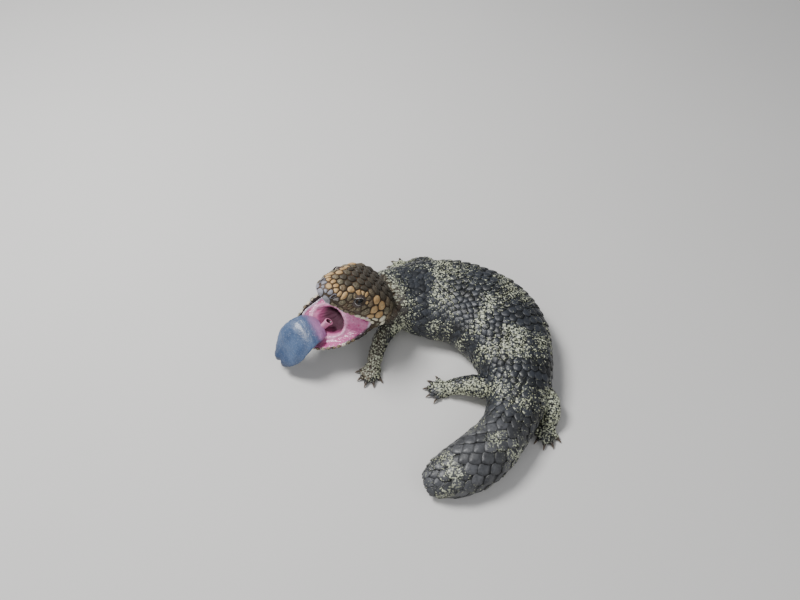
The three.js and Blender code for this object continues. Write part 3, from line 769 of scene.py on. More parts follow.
def scaleShape(name, kind, keel, thin):
    half = scaleOutlines[kind]
    outline = np.array(half + [(x, -y) for x, y in half[-2:0:-1]])
    around = len(outline)
    rings = [np.column_stack([outline, np.full(around, -0.8)])]
    for share, lift in ((1.0, 0.0), (0.92, 0.15), (0.6, 0.24)):
        flat = outline * share
        ridge = keel * np.clip(1 - np.abs(flat[:, 1]) * 3.2, 0, 1) * (1 - share + 0.35)
        rings.append(np.column_stack([flat, 0.1 + thin * (flat[:, 0] + 0.5) + lift + ridge]))
    points = np.vstack(rings + [[[0.05, 0, 0.1 + thin * 0.55 + 0.26 + keel * 0.9]], [[0, 0, -0.8]]])
    top, bottom = len(points) - 2, len(points) - 1
    faces = [f[::-1] for f in gridFaces(4, around)]
    last = 3 * around
    faces += [(last + (k + 1) % around, last + k, top) for k in range(around)]
    faces += [(k, (k + 1) % around, bottom) for k in range(around)]
    mesh = bpy.data.meshes.new(name)
    mesh.from_pydata([tuple(p) for p in points], [], faces)
    mesh.shade_smooth()
    if sum(f.normal.z * f.area for f in mesh.polygons if f.center.z > 0.2) < 0:
        mesh.flip_normals()
    setFloat(mesh, "rim", np.append(np.repeat([1, 0.9, 0.25, 0], around), [0, 1]))
    return linked(name, mesh)


def scaleTree(name):  # a scale on every point, turned and sized by the point's own marks
    tree = bpy.data.node_groups.new(name, "GeometryNodeTree")
    for label, kind, value in (
            ("Geometry", "Geometry", None), ("Scale shape", "Object", None), ("Size variation", "Float", 0.07),
            ("Seed", "Int", 3), ("Material", "Material", None)):
        socket = tree.interface.new_socket(name=label, in_out="INPUT", socket_type="NodeSocket" + kind)
        if value is not None:
            socket.default_value = value
    tree.interface.new_socket(name="Geometry", in_out="OUTPUT", socket_type="NodeSocketGeometry")
    given, out = tree.nodes.new("NodeGroupInput"), tree.nodes.new("NodeGroupOutput")

    def named(label):
        node = addNode(tree, "GeometryNodeInputNamedAttribute", {"Name": label}, data_type="FLOAT_VECTOR")
        return node.outputs["Attribute"]

    turn = addNode(
        tree, "FunctionNodeAxesToRotation", {"Primary Axis": named("out"), "Secondary Axis": named("lie")},
        primary_axis="Z", secondary_axis="X")
    m = Paint(tree, None)
    vary, seed = given.outputs["Size variation"], given.outputs["Seed"]
    spread = addNode(
        tree, "FunctionNodeRandomValue", {2: m.inverse(vary), 3: m.plus(1.0, vary), "Seed": seed},
        data_type="FLOAT")
    sized = addNode(tree, "ShaderNodeVectorMath", {0: named("size")}, operation="SCALE")
    tree.links.new(spread.outputs[1], sized.inputs["Scale"])
    shape = addNode(tree, "GeometryNodeObjectInfo", {"Object": given.outputs["Scale shape"]})
    placedOn = addNode(
        tree, "GeometryNodeInstanceOnPoints",
        {"Points": given.outputs["Geometry"], "Instance": shape.outputs["Geometry"],
         "Rotation": turn.outputs[0], "Scale": sized.outputs[0]})
    tone = addNode(
        tree, "FunctionNodeRandomValue", {2: 0.0, 3: 1.0, "Seed": m.plus(seed, 7)}, data_type="FLOAT")
    toned = addNode(
        tree, "GeometryNodeStoreNamedAttribute",
        {"Geometry": placedOn.outputs[0], "Name": "tone", "Value": tone.outputs[1]}, domain="INSTANCE",
        data_type="FLOAT")
    real = addNode(tree, "GeometryNodeRealizeInstances", {"Geometry": toned.outputs[0]})
    finished = addNode(
        tree, "GeometryNodeSetMaterial", {"Geometry": real.outputs[0], "Material": given.outputs["Material"]})
    tree.links.new(finished.outputs[0], out.inputs[0])
    return tree


scaling = scaleTree("scales on points")


scalePatch = 0.003  # share of the unwrap that one scale takes


def growScales(name, spots, shape):  # spots: rows of place, out, lie, size and unwrap place
    mesh = bpy.data.meshes.new(name + " roots")
    mesh.from_pydata([tuple(s[0]) for s in spots], [], [])
    for label, index in (("out", 1), ("lie", 2), ("size", 3)):
        layer = mesh.attributes.new(label, "FLOAT_VECTOR", "POINT")
        layer.data.foreach_set("vector", np.array([s[index] for s in spots], np.float32).ravel())
    markings(mesh)
    thing = linked(name, mesh)
    modifier = thing.modifiers.new("scales", "NODES")
    modifier.node_group = scaling
    sockets = {i.name: i.identifier for i in scaling.interface.items_tree if i.in_out == "INPUT"}
    modifier[sockets["Scale shape"]] = shape
    modifier[sockets["Material"]] = hideScale
    result = applied(thing, name).data
    setCoordinates(result, withinBox(coordinates(result)))
    count = len(shape.data.vertices)
    local = coordinates(shape.data)[:, :2]
    roots = np.array([s[4] for s in spots])
    corners = cornersOf(result)
    setUnwrap(result, roots[corners // count] + local[corners % count] * scalePatch)
    result.shade_smooth()
    return thing


# Unwrap of the skin: the body, each leg and the head have a strip of their own
def bodyUnwrap(share, angle):
    return (0.02 + 0.94 * share, 0.02 + 0.4 * ((angle + math.pi / 2) % (2 * math.pi)) / (2 * math.pi))


legLines = []  # points down the middle of each leg and foot
for leg in legs.values():
    heading = math.radians(leg["heading"])
    reach = np.array([math.cos(heading), math.sin(heading), 0]) * 18
    ankle = np.array(leg["joints"][-1], float)
    along, _ = curveThrough(list(leg["joints"]) + [tuple(ankle + reach * 0.5), tuple(ankle + reach)], 120)
    legLines.append(along(np.linspace(0, 1, 60)))


def legPlace(point):  # nearest leg, share along it, angle round it, way down it, distance from its middle
    best = None
    for number, dots in enumerate(legLines):
        gaps = np.linalg.norm(dots - point, axis=1)
        k = int(np.argmin(gaps))
        if best is None or gaps[k] < best[4]:
            down = unit(dots[min(k + 1, 59)] - dots[max(k - 1, 0)])
            side = unit(np.cross((0, 0, 1), down))
            away = point - dots[k]
            best = (number, k / 59, math.atan2(away @ np.cross(down, side), away @ side), down, gaps[k])
    return best


def unwrapOf(point):
    h = inHead(point[None])[0]
    if h[0] > -6:
        sideways = math.atan2(h[1], h[2] + 8) / math.pi
        return (0.03 + 0.5 * (h[0] + 6) / 75, 0.72 + 0.24 * sideways)
    number, share, angle, _, gap = legPlace(point)
    if gap < 13:
        column, row = number % 2, number // 2
        return (0.56 + 0.2 * column + 0.18 * share, 0.46 + 0.24 * row + 0.2 * (angle / 6.2832 + 0.5))
    share = float(nearestShare(point[None])[0])
    middle, _, left, up = spineFrame(share)
    away = point - middle
    return bodyUnwrap(share, math.atan2(away @ up, away @ left))


# Scales of the trunk, neck and tail, in staggered rows across the back
backScales = {
    "rows": [  # from, to (share of the length), row spacing, scale length, scale width, height
        (0.035, 0.115, 4.2, 6.4, 5.0, 1.7), (0.115, 0.64, 4.8, 7.8, 6.2, 2.1),
        (0.64, 0.74, 5.4, 9.2, 7.2, 2.3), (0.74, 0.955, 6.0, 10.4, 8.4, 2.5),
        (0.955, 0.995, 4.6, 7.4, 6.0, 1.9),
    ],
    "lowest": -0.75, "jitter": 0.1, "tailJitter": 0.035,
}


def backSpots():
    spots = []
    row = 0
    for start, end, spacing, length, width, height in backScales["rows"]:
        count = max(1, round((end - start) * spineLength / spacing))
        for k in range(count):
            share = start + (end - start) * (k + 0.5) / count
            angles = np.linspace(backScales["lowest"], math.pi - backScales["lowest"], 240)
            line = np.array([skinPoint(share, a) for a in angles])
            run = runAlong(line)
            number = max(4, round(run[-1] / width))
            places = (np.arange(number) + (0.25 if row % 2 else 0.75)) * run[-1] / number
            row += 1
            for place in places:
                wobble = rng.uniform(-1, 1, 2) * backScales["jitter" if start < 0.64 else "tailJitter"]
                angle = float(np.interp(place + wobble[0] * width, run, angles))
                at = share + wobble[1] * spacing / spineLength
                p = skinPoint(at, angle)
                back = skinPoint(min(at + 0.01, 1), angle) - skinPoint(at - 0.01, angle)
                ring = skinPoint(at, angle + 0.05) - skinPoint(at, angle - 0.05)
                out = unit(np.cross(unit(ring), unit(back)))
                if out @ (p - spineAt(at)) < 0:
                    out = -out
                spots.append((p, out, unit(back), (length, width * 1.12, height), bodyUnwrap(at, angle), share))
    return spots


def settle(spots, sink):  # spots moved onto the melted skin; those whose ray misses it, or meets it too steeply, go
    kept = []
    found = ontoSkin([s[0] for s in spots], [s[1] for s in spots])
    for i, hit, normal in found:
        _, out, lie, size, unwrap, share = spots[i]
        out = unit(out * 0.35 + normal)
        lie = unit(lie - out * (lie @ out))
        kept.append((hit + out * sink * mm, out, lie, np.array(size) * mm, unwrap, share))
    return kept


def thinned(points, spacing, taken, gap):  # dart throwing, clear of each other and of the places taken
    tree = treeOf(taken)
    cells = {}
    kept = []
    for i in rng.permutation(len(points)):
        p = points[i]
        if tree.find(p)[2] < gap:
            continue
        cell = tuple(np.floor(p / spacing).astype(int))
        around = (q for step in product((-1, 0, 1), repeat=3) for q in cells.get(tuple(np.add(cell, step)), ()))
        if all(np.sum((points[q] - p) ** 2) >= spacing ** 2 for q in around):
            cells.setdefault(cell, []).append(i)
            kept.append(i)
    return kept


def clearSpot(spot):  # off the head and the legs
    p = spot[0] / mm - setDown
    _, share, _, _, gap = legPlace(p)
    return headShare(p[None])[0] < 0.35 and not (share > 0.28 and gap < 11 or share > 0.2 and gap < 9)


trunkShape = scaleShape("trunk scale shape", "trunk", 0.3, 0.62)
tailShape = scaleShape("tail scale shape", "tail", 0.22, 0.6)
limbShape = scaleShape("limb scale shape", "limb", 0.12, 0.6)
backSettled = [s for s in settle(backSpots(), -0.25) if clearSpot(s)]
tailFrom = 0.7
backCoat = growScales("back_scales", [s for s in backSettled if s[5] < tailFrom], trunkShape)
tailCoat = growScales("tail_scales", [s for s in backSettled if s[5] >= tailFrom], tailShape)
print("back scales", len(backSettled), len(backCoat.data.polygons), len(tailCoat.data.polygons))

# Small scales where the rows leave off: legs, feet, sides, neck and chin
smallScales = {"spacing": 2.9, "gap": 3.3, "size": (4.1, 3.5, 1.15)}  # the size is length, width, height


def faceMarks(mesh, values, lowest=False):  # a mark of the vertices taken to the faces
    corners = cornersOf(mesh)
    starts = np.empty(len(mesh.polygons), np.int64)
    mesh.polygons.foreach_get("loop_start", starts)
    if lowest:
        return np.minimum.reduceat(values[corners], starts)
    counts = np.diff(np.append(starts, len(corners)))
    total = np.add.reduceat(values[corners], starts, axis=0)
    return total / (counts[:, None] if values.ndim == 2 else counts)


def skinFaces():  # middles and slopes of the skin's faces, and which are clear of the mouth
    mesh = skin.data
    centres = faceMarks(mesh, toPose(mesh))
    inside = faceMarks(mesh, mouthMask) > 0.01
    clear = ~inside & ~nearLowerLip(centres) & ~nearMouth(centres)
    return centres, vectorsOf(mesh.polygons, "normal"), clear


def scaleSpot(p, out, lie, size):
    lie = unit(lie - out * (lie @ out))
    return (p + setDown) * mm - out * 0.15 * mm, out, lie, size * mm, unwrapOf(p)


def smallSpots():
    v = smallScales
    centres, normals, clear = skinFaces()
    h = inHead(centres)
    onHead = headShare(centres) > 0.35
    crown = onHead & (h[:, 2] > headLow(h[:, 0]) - 0.4) & (h[:, 0] > -5)
    index = np.flatnonzero(~crown & (centres[:, 2] > 0.9) & clear)
    taken = [s[0] / mm - setDown for s in backSettled]
    spots = []
    for i in index[thinned(centres[index], v["spacing"], taken, v["gap"])]:
        p = centres[i]
        _, share, _, down, gap = legPlace(p)
        if onHead[i]:
            lie = -headTurn[:, 0]
        elif gap < 13:
            lie = down
        else:
            lie = spineFrame(float(nearestShare(p[None])[0]))[1]
        small = 0.82 if share > 0.8 and gap < 13 else 1.0
        small *= 1.15 if onHead[i] else 1.0
        spots.append(scaleSpot(p, normals[i], lie, np.array(v["size"]) * small))
    return spots


def nearMouth(points):  # a margin round the lining
    tree = treeOf(mouthRim)
    near = np.zeros(len(points), bool)
    h = inHead(points)
    for i in np.flatnonzero((h[:, 0] > -6) & (np.linalg.norm(h, axis=1) < 75)):
        near[i] = tree.find(points[i])[2] < 1.9
    return near


def nearLowerLip(points):  # the row that the lower lip's own shields take
    j = jawPlace(inHead(points))
    rim = np.interp(j[:, 0], jawTable[:, 0], jawTable[:, 1])
    return (j[:, 2] > -3.8) & (j[:, 2] < 3) & (j[:, 0] > 8) & (j[:, 0] < 56) & (np.abs(j[:, 1]) < rim + 3)


smallSettled = smallSpots()
smallCoat = growScales("small_scales", smallSettled, limbShape)
print("small scales", len(smallSettled), len(smallCoat.data.polygons))

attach(skin, "root")
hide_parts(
    "head", "lower_jaw", "neck", "trunk_front", "trunk_rear", "hips", "tail_base", "tail_tip",
    "leg_front_left", "leg_front_right", "leg_hind_left", "leg_hind_right")
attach(backCoat, "root")
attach(tailCoat, "root")
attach(smallCoat, "root")


# Colour zones of the head, in its own directions: places and reaches of the pale tan shields and other marks
headZones = {
    "tan": [
        ((55, 2.5, 16.5), 4.6), ((54, 7.4, 15.5), 3.4), ((50.5, 9.6, 17), 3.2), ((48.5, 8.2, 19.8), 3.0),
        ((44, 9.8, 21.8), 3.6), ((39, 11.2, 23.4), 3.4), ((33.5, 13.2, 23.6), 3.4), ((21, 20, 19), 6.2),
        ((24.5, 20.5, 14), 4.6), ((15, 22, 17), 4.6), ((23, 16.6, 23.4), 3.0), ((31, 17.6, 17), 2.6),
    ],
    "grey": [((60, 4.4, 9.5), 6.0), ((57, 8.0, 10), 3.6)],
    "pale": [((12, 24.5, 7), 6.2), ((6, 25.5, 4), 5.0), ((28, 21.5, 5.5), 5.5), ((20, 24, 4), 5.0)],
    "crown": [((30, 0, 27), 13), ((14, 0, 28), 18), ((43, 0, 24), 6.5), ((-2, 0, 24), 20)],
}


def zoneShare(h, zone):
    best = np.zeros(len(h))
    folded = h.copy()
    folded[:, 1] = np.abs(folded[:, 1])
    for middle, reach in headZones[zone]:
        away = np.linalg.norm(folded - np.array(middle, float), axis=1)
        best = np.maximum(best, 1 - smoothStep(reach * 0.75, reach * 1.25, away))
    return best


def headMarks(mesh, places, pale):  # the zone of each shield's middle
    for zone in headZones:
        amount = zoneShare(inHead(places), zone)
        setFloat(mesh, zone, np.maximum(amount, pale) if zone == "pale" else amount)


# The head's surface laid flat: u runs over the crown to the snout, s across it from the middle, left above zero
crownX = np.linspace(-9, 61, 141)
crownLine = np.array([(x, headAt(x)[1]) for x in crownX])
crownRun = runAlong(crownLine)
crossAngles = np.linspace(0, math.pi, 181)
crossRuns = []
for x in crownX:
    line = np.array([headPoint(x, a) for a in crossAngles])
    run = runAlong(line)
    crossRuns.append(run[90] - run)
crossRuns = np.array(crossRuns)


def halfAcross(u):  # from the middle of the crown down to the lip
    return float(np.interp(u, crownRun, crossRuns[:, 0]))


def crownSpot(u, s):
    x = float(np.interp(u, crownRun, crownX))
    row = int(np.argmin(np.abs(crownX - x)))
    return x, float(np.interp(-s, -crossRuns[row], crossAngles))


def ontoHead(point, out, reach=6.0):  # pose place and slope on the melted skin
    start = Vector(placed(point) + out * reach * mm)
    hit, normal, _, _ = skinTree.ray_cast(start, Vector(-out), 2.2 * reach * mm)
    if hit is None:
        return point, out
    smooth = unit(np.array(normal) * 0.5 + out)
    return np.array(hit) / mm - setDown, smooth


def crownMap(u, s):
    x, angle = crownSpot(u, s)
    p = headPoint(x, angle)
    e = 0.4
    fore = headPoint(min(x + e, 60.9), angle) - headPoint(max(x - e, -9), angle)
    side = headPoint(x, min(angle + 0.03, math.pi)) - headPoint(x, max(angle - 0.03, 0))
    out = unit(np.cross(side, fore))
    away = p - np.array([min(x, 50), 0, 11])
    if out @ away < 0:
        out = -out
    out = unit(out + 0.25 * unit(away))
    return ontoHead(fromHead(p), headTurn @ out)


shieldValues = {
    "rows": [(-3, 6.2), (12, 7.2), (30, 7.4), (48, 6.6), (60, 5.4), (75, 4.6)],  # place, size
    "gap": 0.34, "height": 1.05, "corners": 13, "jitter": 0.16,
    "lipRow": 4.2, "eyeGap": 4.5, "eyeRing": 6.6, "earGap": 4.2,
}


def clipped(polygon, point, normal):  # keep what lies behind the line
    out = []
    for i, a in enumerate(polygon):
        b = polygon[(i + 1) % len(polygon)]
        da, db = (a - point) @ normal, (b - point) @ normal
        if da <= 0:
            out.append(a)
        if da * db < 0:
            out.append(a + (b - a) * (da / (da - db)))
    return out


def cellOf(seeds, i, reach):
    seed = seeds[i]
    polygon = [seed + np.array(c) * reach for c in ((-1, -1), (1, -1), (1, 1), (-1, 1))]
    away = np.linalg.norm(seeds - seed, axis=1)
    for j in np.argsort(away)[1:26]:
        if away[j] > 2.6 * reach:
            break
        normal = (seeds[j] - seed) / max(away[j], 1e-6)
        polygon = clipped(polygon, (seeds[j] + seed) / 2, normal)
        if len(polygon) < 3:
            return None
    return np.array(polygon)


def spotOnMap(target):
    best = None
    for u in np.linspace(0, crownRun[-1], 141):
        for s in np.linspace(0, 36, 73):
            x, angle = crownSpot(u, s)
            gap = np.linalg.norm(headPoint(x, angle) - np.array(target))
            if best is None or gap < best[0]:
                best = (gap, u, s)
    return best[1], best[2]


eyeSpot = np.array(spotOnMap(np.array(head["eye"]) + np.array([0.12, 0.93, 0.34]) * 3.6))
nostrilSpot = np.array(spotOnMap(head["nostril"]))
print("eye and nostril on the map", eyeSpot.round(1), nostrilSpot.round(1))


def shieldSeeds():
    v = shieldValues
    at, sizes = zip(*v["rows"])
    seeds, real = [], []

    def add(u, s, isReal):
        for side in ((1, -1) if abs(s) > 0.6 else (1,)):
            seeds.append((u, side * s))
            real.append(isReal)

    for k in range(12):
        a = 2 * math.pi * (k + 0.5) / 12
        ring = np.array([math.cos(a), math.sin(a) * 0.9])
        add(*(eyeSpot + ring * v["eyeRing"] * rng.uniform(0.96, 1.04)), True)
        add(*(eyeSpot + ring * (2 * v["eyeGap"] - v["eyeRing"])), False)
    for k in range(6):
        a = 2 * math.pi * k / 6
        add(*(nostrilSpot + np.array([math.cos(a), math.sin(a)]) * 3.6), True)
    add(*nostrilSpot, False)
    near = [(eyeSpot, v["eyeRing"] + 2.2), (nostrilSpot, 5.6)]
    u = -1.0
    row = 0
    while u < crownRun[-1] + 4:
        size = float(np.interp(u, at, sizes))
        limit = halfAcross(min(u, crownRun[-1]))
        s = 0.0 if row % 2 else size / 2
        while s < limit + size * 2:
            place = np.array([u, s]) + rng.uniform(-1, 1, 2) * v["jitter"] * size * (1 if s > 0.6 else 0.2)
            if all(np.linalg.norm(place - middle) > gap for middle, gap in near):
                inside = 0 < place[0] < crownRun[-1] + 1 and abs(place[1]) < limit - v["lipRow"] + 0.3
                add(*place, inside)
            s += size
        u += size * 0.87
        row += 1
    return np.array(seeds), np.array(real)


def roundedOutline(polygon, gap, corners):  # inset, corners cut once, and evenly stepped
    middle = polygon.mean(axis=0)
    out = list(polygon)
    for i, a in enumerate(polygon):
        b = polygon[(i + 1) % len(polygon)]
        edge = b - a
        if np.linalg.norm(edge) < 1e-6:
            continue
        normal = unit(np.array([edge[1], -edge[0]]))
        if normal @ (middle - a) > 0:
            normal = -normal
        out = clipped(out, a - normal * gap, normal)
        if len(out) < 3:
            return None
    cut = []
    for i, a in enumerate(out):
        b = out[(i + 1) % len(out)]
        cut += [a * 0.78 + b * 0.22, a * 0.22 + b * 0.78]
    cut = np.array(cut + [cut[0]])
    run = runAlong(cut)
    if run[-1] < 3:
        return None
    places = np.linspace(0, run[-1], corners, endpoint=False)
    return np.stack([np.interp(places, run, cut[:, k]) for k in range(2)], -1)


def earPlace(side):
    return ontoHead(headSpot("ear", side), headTurn[:, 1] * side)[0]


class PlateSheet:  # gathers raised shields into one mesh with their marks and unwrap
    def __init__(self):
        self.points, self.faces, self.rim, self.tone = [], [], [], []
        self.middles, self.roots, self.pale = [], [], []

    def add(self, outline, onto, height, unwrap, crown=0.32, sunk=1.1, pale=0.0):
        middle = outline.mean(axis=0)
        if min(np.linalg.norm(onto(*middle)[0] - earPlace(side)) for side in (1, -1)) < shieldValues["earGap"]:
            return
        start = sum(len(p) for p in self.points)
        count = len(outline)
        rings = []
        rough = rng.uniform(-0.07, 0.07, (4, count)) * height
        steps = ((1, -sunk), (1, 0.12 * height), (0.9, 0.62 * height), (0.6, 0.9 * height))
        for r, (share, lift) in enumerate(steps):
            ring = []
            for k, q in enumerate(outline):
                p, out = onto(*(middle + (q - middle) * share))
                ring.append(p + out * (lift + (rough[r][k] if r else 0)))
            rings.append(np.array(ring))
        p, out = onto(*middle)
        tip, base = p + out * height * (1 + crown * 0.3), p - out * sunk
        self.points.append(np.vstack(rings + [tip[None], base[None]]))
        last, top, bottom = start + 3 * count, start + 4 * count, start + 4 * count + 1
        faces = gridFaces(4, count, True, start)
        faces += [(last + k, last + (k + 1) % count, top) for k in range(count)]
        faces += [(start + (k + 1) % count, start + k, bottom) for k in range(count)]
        ring = rings[1]
        area = sum(np.cross(ring[k] - p, ring[(k + 1) % count] - p) for k in range(count))
        if area @ out < 0:
            faces = [f[::-1] for f in faces]
        self.faces += faces
        dots = 4 * count + 2
        self.rim += list(np.repeat([1, 0.95, 0.3, 0], count)) + [0, 1]
        self.tone += [rng.uniform()] * dots
        self.middles += [p] * dots
        self.pale += [pale] * dots
        spread = (np.vstack([outline] * 4 + [middle[None]] * 2) - middle) / (np.abs(outline - middle).max() * 2)
        self.roots.append(spread * 0.003 + np.array(unwrap))

    def build(self, name, material):
        thing = meshOf(name, np.vstack(self.points), self.faces)
        mesh = thing.data
        setFloat(mesh, "rim", self.rim)
        setFloat(mesh, "tone", self.tone)
        markings(mesh)
        headMarks(mesh, np.array(self.middles), np.array(self.pale))
        setUnwrap(mesh, np.vstack(self.roots)[cornersOf(mesh)])
        mesh.materials.append(material)
        return thing


def crownUnwrap(u, s):
    return (0.03 + 0.5 * u / crownRun[-1], 0.72 + 0.12 * s / 36 + 0.12)


def addShields(sheet):
    v = shieldValues
    seeds, real = shieldSeeds()
    at, sizes = zip(*v["rows"])
    for i in np.flatnonzero(real):
        size = float(np.interp(seeds[i][0], at, sizes))
        cell = cellOf(seeds, i, size * 1.1)
        if cell is None:
            continue
        for q in cell:
            q[0] = min(max(q[0], -2), crownRun[-1] - 0.4)
            limit = halfAcross(q[0]) - v["lipRow"] - 0.1
            q[1] = min(max(q[1], -limit), limit)
        outline = roundedOutline(cell, v["gap"], v["corners"])
        if outline is None:
            continue
        spread = math.sqrt(abs(polygonArea(outline)))
        if spread < 1.3:
            continue
        middle = outline.mean(axis=0)
        height = v["height"] * min(spread / 5, 1.15)
        sheet.add(outline, crownMap, height, crownUnwrap(*middle), crown=1.2)


def polygonArea(polygon):
    x, y = polygon[:, 0], polygon[:, 1]
    return 0.5 * float(np.sum(x * np.roll(y, -1) - y * np.roll(x, -1)))


# Lip shields: a row along the upper lip and one along the lower, from the middle of the snout back
lipValues = {"upper": 9, "lower": 11, "upperHeight": 4.1, "lowerHeight": 2.6, "rise": 0.85, "gap": 0.25}


def lipLine(side, lower):
    if lower:
        xs = np.linspace(53.6, 17, 200)
        return np.array([(x, side * jawAt(x)[0], 0) for x in xs]), xs
    xs = np.linspace(60.6, 12, 200)
    return np.array([headPoint(x, 0 if side > 0 else math.pi) for x in xs]), xs


def addLips(sheet, side, lower):
    v = lipValues
    line, xs = lipLine(side, lower)
    run = runAlong(line)
    count = v["lower"] if lower else v["upper"]
    tall = v["lowerHeight"] if lower else v["upperHeight"]
    edges = np.linspace(0, 1, count + 1) ** 0.94 * run[-1]

    def onto(along, up):
        x = float(np.interp(along, run, xs))
        if lower:
            if up < 0:
                p = np.array([x, side * (jawAt(x)[0] + up * 0.8), 0.1])
                out = unit(np.array([0.1, side * 0.35, 1.0]))
                return ontoHead(fromJaw(p), headTurn @ (jawTurn @ out), 3)
            angle = up / max(jawAt(x)[1], 3) * 0.95
            angle = angle if side > 0 else math.pi - angle
            p = jawPoint(x, angle)
            front = smoothStep(48, 54, x)
            out = unit(np.array([0.25 + 0.9 * front, side * (1.1 - front), -0.15]))
            return ontoHead(fromJaw(p), headTurn @ (jawTurn @ out))
        s = crossRuns[int(np.argmin(np.abs(crownX - x)))][0] - up
        return crownMapAt(x, side * s)

    for k in range(count):
        a, b = edges[k], edges[k + 1]
        g = v["gap"]
        low, high = (-1.5 if lower else 0.25), tall * (1 - 0.15 * (k / count)) + rng.uniform(-0.15, 0.25)
        box = np.array([(a + g, low), (b - g, low), (b - g, high), (a + g, high + rng.uniform(-0.2, 0.2))])
        outline = roundedOutline(box, 0.05, 13)
        if outline is None:
            continue
        unwrap = (0.56 + 0.09 * (a + b) / run[-1] + (0.2 if side > 0 else 0), 0.97 if lower else 0.94)
        pale = rng.uniform(0.45, 0.8) if lower else 0.0
        sheet.add(outline, onto, v["rise"], unwrap, crown=0.6, sunk=0.8, pale=pale)


def addTips(sheet):  # the single shields at the front of the snout and of the chin
    def ontoSnout(a, b):
        p = np.array([60.5, a, 8.4 + b])
        return ontoHead(fromHead(p), headTurn @ unit(np.array([1.0, a * 0.12, (b - 1) * 0.12])), 8)

    def ontoChin(a, b):
        p = np.array([53.5, a, b - 2.2])
        return ontoHead(fromJaw(p), headTurn @ (jawTurn @ unit(np.array([1.0, a * 0.12, (b - 1) * 0.08]))), 8)

    for onto, wide, tall in ((ontoSnout, 3.2, 2.4), (ontoChin, 3.2, 1.7)):
        top = wide * 0.75
        box = np.array([(-wide, -tall), (wide, -tall), (top, tall), (0, tall * 1.25), (-top, tall)])
        outline = roundedOutline(box, 0.1, 13)
        sheet.add(outline, onto, 0.9, (0.9, 0.94), crown=0.6, sunk=0.8, pale=0.0 if tall > 2 else 0.9)


def crownMapAt(x, s):
    return crownMap(float(np.interp(x, crownX, crownRun)), s)


headColours = {
    "olive": (0.150, 0.135, 0.090), "brown": (0.160, 0.105, 0.060), "crown": (0.034, 0.029, 0.022),
    "crownPale": (0.070, 0.060, 0.044), "tan": (0.44, 0.255, 0.10), "tanPale": (0.58, 0.40, 0.20),
    "grey": (0.19, 0.185, 0.21), "greyPale": (0.33, 0.33, 0.37), "cream": (0.72, 0.68, 0.52),
    "fleck": (0.36, 0.30, 0.19), "grime": (0.055, 0.036, 0.020), "seam": (0.020, 0.012, 0.007),
}


def shieldMaterial():  # rough shields: pale tan over the eyes and temples, near black-brown on the crown
    c = headColours
    m = Coating("head shields", Roughness=0.6, Specular_IOR_Level=0.3)
    tone, rim, tan, grey, pale, crown = m.attributes("tone", "rim", "tan", "grey", "pale", "crown")
    soft = m.noise(260.0, 4.0, 0.6)
    fine = m.noise(1100.0, 3.0, 0.6)
    base = m.mixed(tone, c["olive"], c["brown"])
    base = m.mixed(m.ramp(fine, 0.5, 0.66), base, c["fleck"])
    base = m.mixed(crown, base, m.mixed(tone, c["crown"], c["crownPale"]))
    tanTint = m.mixed(m.ramp(soft, 0.3, 0.7), c["tan"], c["tanPale"])
    base = m.mixed(m.ramp(m.scaled(tone, 0.22, tan), 0.48, 0.66), base, tanTint)
    base = m.mixed(m.ramp(grey, 0.3, 0.6), base, m.mixed(soft, c["grey"], c["greyPale"]))
    base = m.mixed(m.ramp(m.scaled(fine, 0.5, pale), 0.78, 0.98), base, c["cream"])
    grime = m.times(m.ramp(m.noise(520.0, 4.0, 0.65), 0.42, 0.75), 0.5)
    base = m.mixed(grime, base, c["grime"])
    edge = m.ramp(m.scaled(soft, 0.35, rim), 0.42, 1.05)
    m.into("Base Color", m.mixed(m.times(edge, 0.82), base, c["seam"]))
    m.into("Roughness", m.scaled(soft, 0.35, 0.38))
    m.bump(m.group(grain, Grain=1400.0, Wrinkle=620.0), 0.4, 0.0007)
    return m.material


shields = PlateSheet()
addShields(shields)
for side in (1, -1):
    for lower in (False, True):
        addLips(shields, side, lower)
addTips(shields)
headShields = shields.build("head_shields", shieldMaterial())
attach(headShields, "root")
print("head shields", len(headShields.data.polygons))


cheekScales = {
    "spacing": 2.4, "gap": 1.9, "size": (3.3, 2.9, 1.0), "clear": {"eye": 7.5, "ear": 3.6, "nostril": 2.6},
}


def cheekSpots():  # small scales in the places on the head that the shields leave bare
    v = cheekScales
    centres, normals, clear = skinFaces()
    wanted = (headShare(centres) > 0.2) & clear & (inHead(centres)[:, 0] > -14)
    for side in (1, -1):
        places = {"eye": headSpot("eye", side), "ear": earPlace(side), "nostril": ontoNostrilOf(side)(0, 0)[0]}
        for name, place in places.items():
            wanted &= np.linalg.norm(centres - place, axis=1) > v["clear"][name]
    index = np.flatnonzero(wanted)
    taken = list(toPose(headShields.data)) + [s[0] / mm - setDown for s in smallSettled]
    kept = index[thinned(centres[index], v["spacing"], taken, v["gap"])]
    return [scaleSpot(centres[i], normals[i], -headTurn[:, 0], np.array(v["size"])) for i in kept]


def ontoNostrilOf(side):
    return lambda a, b: crownMap(nostrilSpot[0] + a, side * (nostrilSpot[1] + b))


def ontoEarOf(side):
    x, y, z = head["ear"]
    return lambda a, b: ontoHead(fromHead((x + a, side * y, z + b)), headTurn[:, 1] * side)


cheekSettled = cheekSpots()
cheekCoat = growScales("cheek_scales", cheekSettled, limbShape)
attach(cheekCoat, "root")
for shape in (trunkShape, tailShape, limbShape):
    bpy.data.objects.remove(shape)
print("cheek scales", len(cheekSettled))


